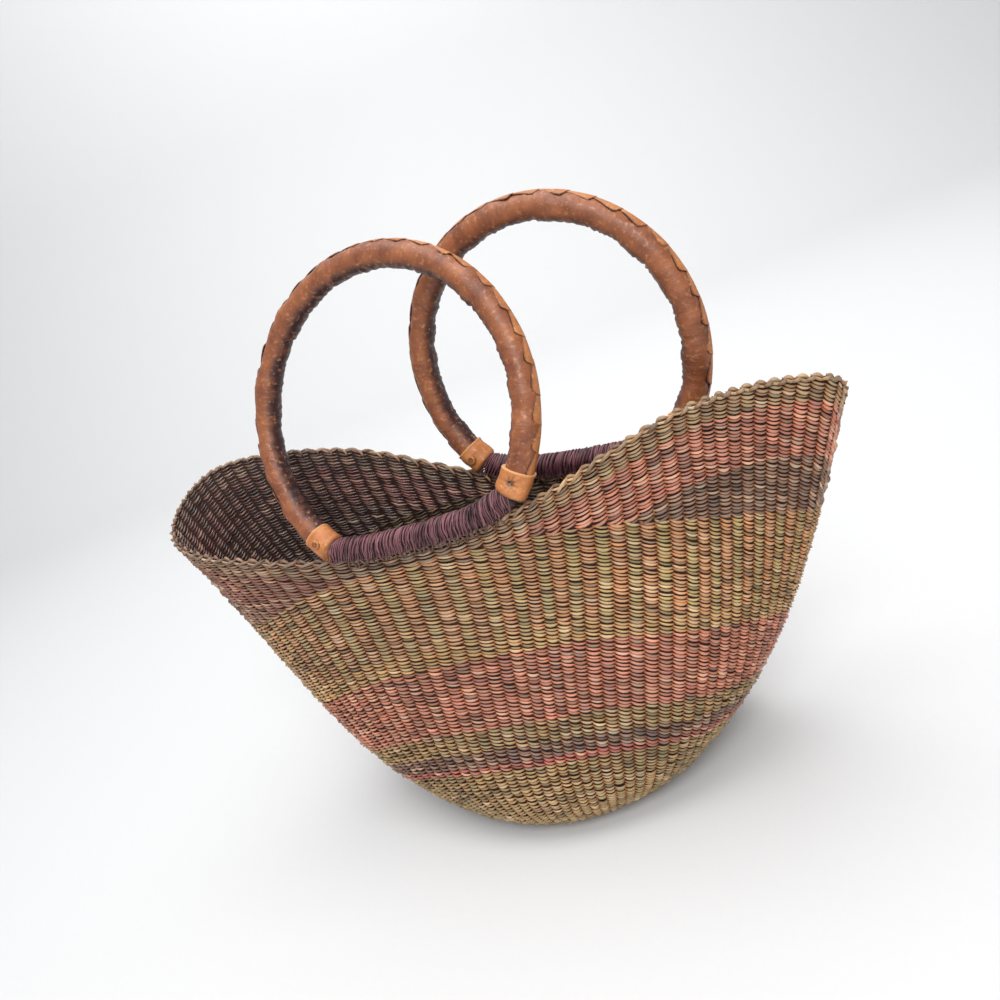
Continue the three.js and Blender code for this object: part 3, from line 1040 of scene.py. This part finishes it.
# %% Leather material
def leather_material(name, light, dark, stain_and_shade, glint_color, roughness):
    """Mottled leather with golden flecks of painted highlight, and a dark colour of stain and painted shade
    where the mesh marks it.
    """
    material, tree, shader = new_material(name, roughness)
    body = add_node(tree, "ShaderNodeTexCoord").outputs["Object"]
    stained_and_shaded = add_node(tree, "ShaderNodeAttribute", attribute_name="stain_and_shade").outputs["Fac"]
    cut = add_node(tree, "ShaderNodeAttribute", attribute_name="cut").outputs["Fac"]
    skin = add_node(tree, "ShaderNodeUVMap", uv_map="Leather").outputs["UV"]
    clouds = range_node(tree, noise(tree, body, 90.0, 8.0), -0.5, 1.5)
    color = mix_color(tree, clouds, dark, light)
    creases = noise(tree, mapped(tree, skin, (4.2, 0.9, 1.0)), 1.0, 6.0)
    grain = noise(tree, body, 1600.0, 2.0)
    # stain and painted shade: the dark colour goes where the mesh marks the inner bend and folds, with a
    # ragged edge
    ragged = range_node(tree, noise(tree, body, 190.0, 5.0), -0.7, 0.7)
    edge = math_node(tree, "MULTIPLY", stained_and_shaded, math_node(tree, "ADD", ragged, 1.1))
    edge.node.use_clamp = True
    color = mix_color(tree, edge, color, stain_and_shade)
    color = mix_color(tree, cut, color, linear(214, 160, 104))
    # painted highlights: golden glints where the blotch noise is high, which is also where the leather is
    # glossier
    blotches = noise(tree, body, 420.0, 3.0)
    golden = range_node(tree, blotches, -1.9, 1.5)
    golden.node.clamp = False
    glint_share = math_node(tree, "MAXIMUM", golden, 0.0)
    color = mix_color(tree, glint_share, color, glint_color)
    speckle = range_node(tree, creases, 0.8, 1.2)
    speckle = math_node(tree, "MULTIPLY", speckle, range_node(tree, grain, 0.72, 1.28))
    tree.links.new(scale_color(tree, color, speckle), shader.inputs["Base Color"])
    tree.links.new(range_node(tree, blotches, roughness + 0.2, roughness - 0.16), shader.inputs["Roughness"])
    relief = math_node(tree, "ADD", creases, math_node(tree, "MULTIPLY", blotches, 0.35))
    relief = math_node(tree, "ADD", relief, math_node(tree, "MULTIPLY", grain, 0.2))
    bump(tree, shader, relief, 0.8 * MM, 0.6)
    return material


# colours of both leathers: light and dark mottle, the dark of stain and painted shade, and the golden painted
# highlight
RED_LEATHER = leather_material(
    "red-brown leather", linear(160, 96, 58), linear(106, 56, 36), linear(52, 24, 24),
    linear(196, 134, 86), 0.42)
TAN_LEATHER = leather_material(
    "tan leather", linear(206, 134, 76), linear(166, 96, 50), linear(66, 34, 22),
    linear(222, 160, 102), 0.45)
print("leathers:", RED_LEATHER.name, "and", TAN_LEATHER.name)

# %% [markdown]
# ## The covered bars
# The leather is drawn round the reeds, so the bar is lumpy, and it wrinkles across the inner bend
# where there is too much of it. Rings of points along the hoop carry those lumps and wrinkles.

# %% Bars


def ripples(along, longest, shortest, seed, parts=9):
    """A seeded wavy line of about one unit, from long swells to short ripples."""
    draw = np.random.default_rng(seed)
    total = np.zeros_like(along)
    for length in np.geomspace(longest, shortest, parts):
        total += np.sin(2 * np.pi * along / (length * draw.uniform(0.85, 1.15)) + draw.uniform(0, 6.3))
    return total / math.sqrt(parts / 2)


def give_facts(made, rings, sides, facts):
    """Writes one number per point for each fact."""
    extra = len(made.data.vertices) - rings * sides
    for label, values in facts.items():
        attribute = made.data.attributes.new(label, "FLOAT", "POINT")
        attribute.data.foreach_set("value", np.append(values.ravel(), np.zeros(extra)).astype(np.float32))


def add_map(made, along, around, sides):
    """A UV map named Leather: along the bar and round it, in centimetres."""
    layer = made.data.uv_layers.new(name="Leather")
    total = len(along) * sides
    for polygon in made.data.polygons:
        ring_of = [v for v in polygon.vertices if v < total]
        wraps = len({v % sides for v in ring_of}) > 1 and {0, sides - 1} <= {v % sides for v in ring_of}
        for loop in polygon.loop_indices:
            v = made.data.loops[loop].vertex_index
            if v >= total:
                v = ring_of[0]
            k = v % sides
            k = k + sides if wraps and k == 0 else k
            layer.data[loop].uv = (along[v // sides] * 100, around * k / sides * 100)


def skin_directions(outs, side, around):
    """Directions from the middle of a bar to its skin, ring by ring."""
    return np.cos(around)[None, :, None] * outs[:, None, :] + np.sin(around)[None, :, None] * side


def covered_bar(hoop):
    """The lumpy leather cover of one hoop."""
    sides, steps = 36, 230
    covered = CAP_LENGTH * 0.8 / hoop["radius"]
    turns = np.linspace(hoop["first"] + covered, hoop["last"] - covered, steps)
    centers, outs = hoop_frames(hoop, turns)
    arc = (turns - turns[0]) * hoop["radius"]
    around = np.arange(sides) / sides * 2 * np.pi
    seed = 41 if hoop["name"] == "front" else 47
    inner = np.clip(-np.cos(around), 0, 1) ** 1.6
    swell = ripples(arc, 60 * MM, 18 * MM, seed)[:, None] * 0.28 * MM
    drift = ripples(arc, 40 * MM, 12 * MM, seed + 1)[:, None] * np.sin(around + 1.0) * 0.22 * MM
    wrinkle = np.abs(ripples(arc, 10 * MM, 3.5 * MM, seed + 2, 5))[:, None] * inner * 0.38 * MM
    fine = ripples(arc, 6 * MM, 2.2 * MM, seed + 3, 5)[:, None] * (0.7 + inner) * 0.09 * MM
    radius = HANDLE_RADIUS - 0.25 * MM + swell + drift - wrinkle + fine
    direction = skin_directions(outs, hoop["side"], around)
    rings = centers[:, None, :] + direction * radius[..., None]
    bar = grid_mesh(f"leather_{hoop['name']}", rings)
    # stain and painted shade: the inner bend and the wrinkles are darker, in ragged blots
    blot = ripples(arc, 50 * MM, 9 * MM, seed + 4)[:, None] * 0.2 * inner
    stain_and_shade = np.clip(inner * 1.5 - 0.45 + 0.3 * wrinkle / MM + blot, 0, 1)
    give_facts(bar, steps, sides, {"stain_and_shade": stain_and_shade, "cut": np.zeros_like(stain_and_shade)})
    add_map(bar, arc, 2 * np.pi * HANDLE_RADIUS, sides)
    bar.data.materials.append(RED_LEATHER)
    return own(bar, "leather", f"handle_{hoop['name']}")


for hoop in HOOPS.values():
    covered_bar(hoop)
    print("covered the hoop at the", hoop["name"])

# %% [markdown]
# ## The sleeves
# A short sleeve of paler leather covers each end of a hoop. Its cut edge stands up as a pale lip.
# Each left sleeve is pinned with a round plug. The front right one is pierced instead, and
# creases run out from the hole.

# %% Sleeves


def sleeve(hoop, is_left):
    """The pale sleeve on one end of a hoop."""
    end = "left" if is_left else "right"
    sides, steps = 48, 26
    turned = CAP_LENGTH / hoop["radius"]
    share = np.linspace(0, 1, steps)
    turns = hoop["last"] - turned * (1 - share) if is_left else hoop["first"] + turned * (1 - share)
    centers, outs = hoop_frames(hoop, turns)
    arc = share * CAP_LENGTH
    around = np.arange(sides) / sides * 2 * np.pi
    seed = 61 + 3 * is_left + (7 if hoop["name"] == "back" else 0)
    lump = ripples(arc, 16 * MM, 7 * MM, seed, 4)[:, None] * np.cos(around + seed)[None, :] * 0.18 * MM
    wave = ripples(around * 8 * MM, 30 * MM, 8 * MM, seed + 1, 4)[None, :] * 0.14 * MM
    lip = np.exp(-((share - 0.03) / 0.05) ** 2)[:, None] * 0.3 * MM
    closing = -np.clip((share - 0.86) / 0.14, 0, 1)[:, None] ** 2 * 1.0 * MM
    radius = CAP_RADIUS - 0.2 * MM + lump + wave + lip + closing
    stain_and_shade = np.zeros_like(radius)
    if hoop["name"] == "front" and not is_left:
        across = (around - math.radians(80) + np.pi) % (2 * np.pi) - np.pi
        dx = across[None, :] * CAP_RADIUS
        dy = arc[:, None] - 6.5 * MM
        far = np.hypot(dx, dy)
        creases = 0.5 + 0.5 * np.cos(9 * np.arctan2(dy, dx))
        radius = radius - np.exp(-(far / (3.4 * MM)) ** 2) * (0.5 + 0.7 * creases) * 0.9 * MM
        radius = radius - np.exp(-(far / (1.3 * MM)) ** 2) * 1.6 * MM
        # stain and painted shade: darker in and round the hole, in a star along the creases
        stain_and_shade = 1.8 * np.exp(-(far / (1.5 * MM)) ** 2)
        stain_and_shade = stain_and_shade + 0.85 * np.exp(-(far / (4.2 * MM)) ** 2) * (1 - creases) ** 2
        stain_and_shade = np.clip(stain_and_shade, 0, 1)
    direction = skin_directions(outs, hoop["side"], around)
    rings = centers[:, None, :] + direction * radius[..., None]
    inner_lip = centers[:1, None, :] + direction[:1] * (HANDLE_RADIUS - 0.6 * MM)
    made = grid_mesh(f"sleeve_{hoop['name']}_{end}", np.concatenate([inner_lip, rings]))
    cut = np.exp(-(share / 0.05) ** 2)[:, None] * np.ones(sides)
    # stain and painted shade: darker towards the end of the hoop, where the sleeve closes on the bar
    stain_and_shade = stain_and_shade + 0.35 * np.clip((share - 0.8) / 0.2, 0, 1)[:, None]
    facts = {"stain_and_shade": np.vstack([np.zeros((1, sides)), stain_and_shade]), "cut": np.vstack([np.ones((1, sides)), cut])}
    give_facts(made, steps + 1, sides, facts)
    add_map(made, np.append(-1 * MM, arc), 2 * np.pi * CAP_RADIUS, sides)
    made.data.materials.append(TAN_LEATHER)
    return own(made, "pale_leather", f"handle_{hoop['name']}_cap_{end}")


def plug(hoop):
    """A round plug with a domed head, pressed into the front of a left sleeve."""
    turn = hoop["last"] - 0.5 * CAP_LENGTH / hoop["radius"]
    centers, outs = hoop_frames(hoop, np.array([turn]))
    forward = hoop["side"] if hoop["side"][1] < 0 else -hoop["side"]
    sideways = unit(np.cross(forward, outs[0]))
    around = np.arange(20) / 20 * 2 * np.pi
    profile = ((1.0, -1.2), (1.0, 0.25), (0.92, 0.6), (0.62, 0.95), (0.5, 0.7), (0.2, 0.75))
    rings = []
    for wide, high in profile:
        ring = np.cos(around)[:, None] * outs[0] + np.sin(around)[:, None] * sideways
        rings.append(centers[0] + forward * (CAP_RADIUS + high * MM) + ring * PEG_RADIUS * wide)
    made = grid_mesh(f"plug_{hoop['name']}", rings)
    # stain and painted shade: darkest where the plug meets the sleeve and in the dip of its head, palest on
    # the rim of the head
    stain_and_shade = np.array([0.9, 0.5, 0.1, 0.3, 0.7, 0.6])[:, None] * np.ones(20)
    give_facts(made, len(profile), 20, {"stain_and_shade": stain_and_shade, "cut": np.zeros_like(stain_and_shade)})
    add_map(made, np.arange(len(profile)) * MM, 2 * np.pi * PEG_RADIUS, 20)
    made.data.materials.append(TAN_LEATHER)
    return own(made, "leather", f"handle_{hoop['name']}_peg")


for hoop in HOOPS.values():
    sleeve(hoop, True)
    sleeve(hoop, False)
    plug(hoop)
    print("sleeves and plug of the hoop at the", hoop["name"])

# %% [markdown]
# ## The laced edge
# The two edges of the cover meet along the outside of the hoop and are whipped with a flat thong.
# Each turn of it lies flat on the bar, grows wider up to a point on the front and is then tucked
# under the next, so the strip has a toothed edge with a dark line of shadow. One such turn is
# bent to the bar and set on points along the edge with the same tree as the stitches.

# %% Lacing
THONG = {"pitch": 14.5 * MM, "overlap": 1.22, "width": 7.6 * MM, "thick": 0.8 * MM}


def thong_turn(name):
    """One flat turn of the thong, one unit long and wide, bent both ways to lie on the bar."""
    stations = ((-0.5, 0.02), (-0.36, -0.1), (-0.2, -0.22), (0.0, -0.35), (0.18, -0.45),
                (0.33, -0.5), (0.4, -0.4), (0.44, -0.18), (0.5, 0.0))
    across_bend = THONG["width"] ** 2 / (2 * HANDLE_RADIUS * THONG["thick"])
    along_bend = (THONG["pitch"] * THONG["overlap"]) ** 2 / (2 * 96 * MM * THONG["thick"])
    rings, depth = [], []
    for x, front in stations:
        ring = []
        for share in np.linspace(0, 1, 7):
            y = front + (0.42 - front) * share
            crown = 0.25 * math.sin(math.pi * share)
            z = 0.15 + 0.45 * (x + 0.5) + crown - across_bend * y**2 - along_bend * x**2
            ring.append((x, y, z))
        rings.append(ring + [(px, py, pz - 1.0) for px, py, pz in ring[::-1]])
    made = grid_mesh(name, rings)
    bpy.context.scene.collection.objects.unlink(made)
    layer = made.data.uv_layers.new(name="Leather")
    for loop in made.data.loops:
        x, y, _ = made.data.vertices[loop.vertex_index].co
        layer.data[loop.index].uv = (x * 1.5, y * 0.6)
    # painted shadow: the underside and the toothed front edge of each turn are dark, for the line of shadow
    # under the next turn
    stain_and_shade = made.data.attributes.new("stain_and_shade", "FLOAT", "POINT")
    for index in range(len(made.data.vertices)):
        place = index % 14
        stain_and_shade.data[index].value = 1.0 if place >= 7 else 0.75 if place == 0 else 0.1
    return made


THONG_TURN = thong_turn("thong_turn")


def lacing(hoop):
    """The turns of the thong along the outer edge of one hoop."""
    covered = (CAP_LENGTH + 1 * MM) / hoop["radius"]
    span = hoop["last"] - hoop["first"] - 2.4 * covered
    count = int(span * (hoop["radius"] + HANDLE_RADIUS) / THONG["pitch"])
    turns = np.linspace(hoop["last"] - covered * 1.2, hoop["first"] + covered * 1.2, count)
    centers, outs = hoop_frames(hoop, turns)
    draw = np.random.default_rng(71 + (hoop["name"] == "back"))
    backward = hoop["side"] if hoop["side"][1] > 0 else -hoop["side"]
    tangent = unit(np.cross(np.broadcast_to(backward, outs.shape), outs))
    twist = draw.normal(0.03, 0.03, count)
    along = tangent * np.cos(twist)[:, None] - backward * np.sin(twist)[:, None]
    outward = unit(outs - backward * draw.normal(0.12, 0.04, count)[:, None])
    length = THONG["pitch"] * THONG["overlap"] * draw.normal(1, 0.05, count)
    size = np.stack([length, THONG["width"] * draw.normal(1, 0.06, count), np.full(count, THONG["thick"])], 1)
    points = centers + outward * (HANDLE_RADIUS - 0.1 * MM)
    name = f"lacing_{hoop['name']}"
    made = set_strands(name, points, THONG_TURN, TAN_LEATHER, along, outward, size)
    return own(made, "pale_leather", f"handle_{hoop['name']}_seam")


for hoop in HOOPS.values():
    lacing(hoop)
    print("laced the hoop at the", hoop["name"])

# %% [markdown]
# ## The bound feet
# Between its sleeves each hoop runs along the rim, and fine plum straw is wound round it and
# through the border, turn beside turn. Geometry Nodes step along the line of the foot, set one
# turn at each step, tilt it a little at random and add a dark core inside.

# %% Wrap tree


def wrap_tree():
    """Sets turns of straw along a line, each a little tilted, round a core."""
    tree, given, result = new_tree("Wound straw", (
        ("Turn", "Object", None), ("Core", "Object", None), ("Straw", "Material", None),
        ("Pitch", "Float", 0.95 * MM), ("Tilt", "Float", 0.1), ("Slant", "Float", 0.0), ("Seed", "Int", 5),
    ))
    steps = add_node(tree, "GeometryNodeResampleCurve", mode="LENGTH")
    tree.links.new(given.outputs["Geometry"], steps.inputs["Curve"])
    tree.links.new(given.outputs["Pitch"], steps.inputs["Length"])
    tangent = add_node(tree, "GeometryNodeInputTangent")
    turn = add_node(tree, "FunctionNodeAxesToRotation", primary_axis="Z", secondary_axis="Y")
    tree.links.new(tangent.outputs["Tangent"], turn.inputs["Primary Axis"])
    turn.inputs["Secondary Axis"].default_value = (0, 0, 1)
    lean = add_node(tree, "FunctionNodeRandomValue", data_type="FLOAT_VECTOR")
    low = add_node(tree, "ShaderNodeVectorMath", operation="SCALE")
    low.inputs[0].default_value = (-1, -1, -0.4)
    high = add_node(tree, "ShaderNodeVectorMath", operation="SCALE")
    high.inputs[0].default_value = (1, 1, 0.4)
    for node in (low, high):
        tree.links.new(given.outputs["Tilt"], node.inputs["Scale"])
    tree.links.new(low.outputs["Vector"], lean.inputs["Min"])
    tree.links.new(high.outputs["Vector"], lean.inputs["Max"])
    tree.links.new(given.outputs["Seed"], lean.inputs["Seed"])
    tilt = add_node(tree, "FunctionNodeEulerToRotation")
    slant = add_node(tree, "ShaderNodeCombineXYZ")
    tree.links.new(given.outputs["Slant"], slant.inputs["X"])
    leaning = add_node(tree, "ShaderNodeVectorMath", operation="ADD")
    tree.links.new(lean.outputs["Value"], leaning.inputs[0])
    tree.links.new(slant.outputs["Vector"], leaning.inputs[1])
    tree.links.new(leaning.outputs["Vector"], tilt.inputs["Euler"])
    turned = add_node(tree, "FunctionNodeRotateRotation", rotation_space="LOCAL")
    tree.links.new(turn.outputs["Rotation"], turned.inputs["Rotation"])
    tree.links.new(tilt.outputs["Rotation"], turned.inputs["Rotate By"])
    shape = add_node(tree, "GeometryNodeObjectInfo", transform_space="ORIGINAL")
    tree.links.new(given.outputs["Turn"], shape.inputs["Object"])
    place = add_node(tree, "GeometryNodeInstanceOnPoints")
    tree.links.new(steps.outputs["Curve"], place.inputs["Points"])
    tree.links.new(shape.outputs["Geometry"], place.inputs["Instance"])
    tree.links.new(turned.outputs["Rotation"], place.inputs["Rotation"])
    shade = add_node(tree, "FunctionNodeRandomValue", data_type="FLOAT")
    tree.links.new(given.outputs["Seed"], shade.inputs["Seed"])
    tone = add_node(tree, "GeometryNodeStoreNamedAttribute", data_type="FLOAT", domain="INSTANCE")
    tone.inputs["Name"].default_value = "tone"
    tree.links.new(place.outputs["Instances"], tone.inputs["Geometry"])
    tree.links.new(shade.outputs[1], tone.inputs["Value"])
    real = add_node(tree, "GeometryNodeRealizeInstances")
    tree.links.new(tone.outputs["Geometry"], real.inputs["Geometry"])
    core = add_node(tree, "GeometryNodeObjectInfo", transform_space="ORIGINAL")
    tree.links.new(given.outputs["Core"], core.inputs["Object"])
    both = add_node(tree, "GeometryNodeJoinGeometry")
    tree.links.new(core.outputs["Geometry"], both.inputs["Geometry"])
    tree.links.new(real.outputs["Geometry"], both.inputs["Geometry"])
    paint = add_node(tree, "GeometryNodeSetMaterial")
    tree.links.new(both.outputs["Geometry"], paint.inputs["Geometry"])
    tree.links.new(given.outputs["Straw"], paint.inputs["Material"])
    tree.links.new(paint.outputs["Geometry"], result.inputs["Geometry"])
    return tree


WRAP_TREE = wrap_tree()
print("nodes of the wrap tree:", len(WRAP_TREE.nodes))


# %% Plum straw and one turn of it
def plum_material():
    """Fine plum straw, each turn of its own shade."""
    material, tree, shader = new_material("plum straw", 0.45)
    body = add_node(tree, "ShaderNodeTexCoord").outputs["Object"]
    tone = add_node(tree, "ShaderNodeAttribute", attribute_name="tone").outputs["Fac"]
    clouds = noise(tree, body, 220.0, 3.0)
    share = math_node(tree, "MULTIPLY", tone, 0.75)
    share = math_node(tree, "ADD", share, range_node(tree, clouds, -0.25, 0.5))
    share.node.use_clamp = True
    color = mix_color(tree, share, linear(34, 16, 18), linear(154, 100, 108))
    tree.links.new(color, shader.inputs["Base Color"])
    bump(tree, shader, noise(tree, body, 1800.0, 2.0), 0.15 * MM, 0.5)
    return material


PLUM = plum_material()
TURN = {"thick": 0.4 * MM, "wide": 6.0 * MM, "tall": 6.5 * MM, "pinch": 4.4 * MM, "down": 7.0 * MM}


def turn_outline(steps=18):
    """One turn seen along the foot: round over the bar and pinched where it passes the wall."""
    turn = np.arange(steps) / steps * 2 * np.pi + np.pi / steps
    x = np.cos(turn) * TURN["wide"]
    y = np.sin(turn) * TURN["tall"]
    under = np.clip(-np.sin(turn), 0, 1)
    x = x * (1 - under) + np.sign(x) * TURN["pinch"] * under
    y = np.where(y < 0, np.sin(turn) * TURN["down"], y)
    return np.stack([x, y], 1)


def wound_turn(name):
    """One closed turn of round straw."""
    outline = turn_outline()
    count, sides = len(outline), 5
    middle = outline.mean(axis=0)
    points, faces = [], []
    for x, y in outline:
        out = unit(np.array([x, y]) - middle)
        for k in range(sides):
            a = 2 * np.pi * k / sides
            points.append((x + out[0] * math.cos(a) * TURN["thick"], y + out[1] * math.cos(a) * TURN["thick"],
                           math.sin(a) * TURN["thick"]))
    for i in range(count):
        for k in range(sides):
            a, b = i * sides + k, i * sides + (k + 1) % sides
            c, d = ((i + 1) % count) * sides + (k + 1) % sides, ((i + 1) % count) * sides + k
            faces.append((a, b, c, d))
    mesh = bpy.data.meshes.new(name)
    mesh.from_pydata(points, [], faces)
    work = bmesh.new()
    work.from_mesh(mesh)
    bmesh.ops.recalc_face_normals(work, faces=work.faces)
    work.to_mesh(mesh)
    work.free()
    mesh.shade_smooth()
    return bpy.data.objects.new(name, mesh)


WOUND_TURN = wound_turn("wound_turn")
print("faces of one turn:", len(WOUND_TURN.data.polygons))


# %% Wind the feet
CORE_SHARE = 0.86


def foot_line(hoop):
    """The points that the middle of a bound foot runs through."""
    seat = WRAP_RADIUS + WRAP_LIFT
    shares = np.linspace(0.2, 0.8, 5)
    stops = edge_point(hoop["left_at"] + (hoop["right_at"] - hoop["left_at"]) * shares, seat)
    ends = hoop_frames(hoop, np.array([hoop["last"], hoop["first"]]))[0]
    return np.vstack([ends[:1], stops, ends[1:]])


def foot_curve(name, line):
    """A smooth curve through the points of a foot."""
    curve = bpy.data.curves.new(name, "CURVE")
    curve.dimensions = "3D"
    spline = curve.splines.new("BEZIER")
    spline.bezier_points.add(len(line) - 1)
    for point, place in zip(spline.bezier_points, line):
        point.co = place
        point.handle_left_type = point.handle_right_type = "AUTO"
    made = bpy.data.objects.new(name, curve)
    bpy.context.scene.collection.objects.link(made)
    return made


def foot_core(hoop, line):
    """A plain dark bar that fills the turns down to the wall."""
    steps = np.linspace(0, 1, 25)
    places = np.linspace(0, 1, len(line))
    path = np.stack([np.interp(steps, places, line[:, k]) for k in range(3)], 1)
    tangent = unit(np.gradient(path, axis=0))
    side = unit(np.cross(tangent, [0, 0, 1.0]))
    up = np.cross(side, tangent)
    outline = turn_outline() * CORE_SHARE
    rings = path[:, None] + outline[None, :, :1] * side[:, None] + outline[None, :, 1:] * up[:, None]
    made = grid_mesh(f"foot_core_{hoop['name']}", rings)
    bpy.context.scene.collection.objects.unlink(made)
    return made


for hoop in HOOPS.values():
    line = foot_line(hoop)
    name = f"bound_foot_{hoop['name']}"
    values = {"Turn": WOUND_TURN, "Core": foot_core(hoop, line), "Straw": PLUM, "Tilt": 0.16, "Slant": 0.4}
    foot = run_tree(foot_curve(name + "_line", line), WRAP_TREE, values, name)
    own(foot, "plum_straw", f"rim_wrap_{hoop['name']}")
    print("wound the foot at the", hoop["name"])

# %% [markdown]
# ## The ties
# Loose ends of the same straw hold the foot to the basket. They come out from under the turns and
# are stitched into the border in short slanted strokes that meet in pairs, on both faces.

# %% Ties
TIE = {"length": 7.5 * MM, "thick": 1.5 * MM, "apart": 3.6 * MM, "slant": math.radians(24), "drop": 0.8 * MM}


def ties(hoop):
    """Short plum strands from the bound foot into the border, outside and inside."""
    reach = np.linalg.norm(edge_point(hoop["left_at"], 0)[0] - edge_point(hoop["right_at"], 0)[0])
    count = int(reach / TIE["apart"])
    share = 0.05 + 0.9 * (np.arange(count) + 0.5) / count
    angle = hoop["left_at"] + (hoop["right_at"] - hoop["left_at"]) * share
    top = np.ones_like(angle)
    outward = wall_normal(angle, top)
    ahead = unit(wall_point(angle + 0.5, top) - wall_point(angle - 0.5, top))
    up = unit(np.cross(outward, ahead))
    draw = np.random.default_rng(91 + (hoop["name"] == "back"))
    points, along, facing = [], [], []
    for face, depth in ((1.0, 0.0), (-1.0, WALL)):
        slant = TIE["slant"] * np.where(np.arange(count) % 2 == 0, 1, -1) + draw.normal(0, 0.16, count)
        along.append(up * np.cos(slant)[:, None] + ahead * np.sin(slant)[:, None])
        facing.append(outward * face)
        points.append(wall_point(angle, top) - outward * depth + outward * face * 0.9 * MM - up * TIE["drop"])
    points, along, facing = np.concatenate(points), np.concatenate(along), np.concatenate(facing)
    size = np.stack([TIE["length"] * draw.normal(0.85, 0.12, 2 * count), np.full(2 * count, TIE["thick"]),
                     np.full(2 * count, 0.9 * MM)], 1)
    dye = DYES["plum"] * draw.normal(0.7, 0.25, (2 * count, 1)).clip(0.3, 1.5)
    tone = draw.random(2 * count)
    name = f"ties_{hoop['name']}"
    made = set_strands(name, points, OUTER_STITCH, STRAW, along, facing, size, dye, tone)
    return own(made, "plum_straw")


for hoop in HOOPS.values():
    ties(hoop)
    print("tied the foot at the", hoop["name"])

# %% [markdown]
# ## Finish
# The stage is a pale floor that curves up behind, lit by large soft lights. A third light
# brightens the back of the stage. The standard view shows each dye as it is written.

# %% Stage and lights


def stage():
    """The floor and the backdrop, as one curved sheet."""
    floor_z = min(0.0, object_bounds()[0][2])
    bend = [(1.2 + 0.6 * math.sin(a), 0.6 - 0.6 * math.cos(a)) for a in np.linspace(0, math.pi / 2, 13)]
    profile = [(-1.6, 0.0), *bend, (1.8, 3.0)]
    points = [(x, y, floor_z + z) for y, z in profile for x in (-3.0, 3.0)]
    faces = [(2 * k, 2 * k + 1, 2 * k + 3, 2 * k + 2) for k in range(len(profile) - 1)]
    mesh = bpy.data.meshes.new("floor")
    mesh.from_pydata(points, [], faces)
    mesh.shade_smooth()
    turned = Matrix.Rotation(math.radians(VIEW["around"]), 4, "Z")
    mesh.transform(turned)
    floor = bpy.data.objects.new("floor", mesh)
    bpy.context.scene.collection.objects.link(floor)
    mesh.materials.append(plain_material("pale floor", (0.66, 0.66, 0.66), 0.8, 300.0, 0.02 * MM, 0.015))
    floor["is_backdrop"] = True


def area_light(name, place, size, power, aim=(0, 0, 0.12)):
    """A square soft light that looks at a point."""
    light = bpy.data.lights.new(name, "AREA")
    light.size = size
    light.energy = power
    made = bpy.data.objects.new(name, light)
    made.location = place
    made.rotation_euler = (Vector(aim) - Vector(place)).to_track_quat("-Z", "Y").to_euler()
    bpy.context.scene.collection.objects.link(made)


def studio():
    """The sky, three lights and the colour view."""
    world = bpy.data.worlds.new("studio")
    bpy.context.scene.world = world
    world.use_nodes = True
    world.node_tree.nodes["Background"].inputs["Color"].default_value = (0.95, 0.97, 1.0, 1)
    world.node_tree.nodes["Background"].inputs["Strength"].default_value = 0.5
    area_light("window", (0.6, -1.4, 1.5), 1.1, 27)
    area_light("ceiling", (0.0, 0.1, 1.9), 1.6, 26)
    area_light("backdrop", (-0.1, 0.8, 1.5), 1.2, 10, (-0.3, 1.7, 0.8))
    bpy.context.scene.view_settings.view_transform = "Standard"


stage()
studio()
print("stage and lights are set")
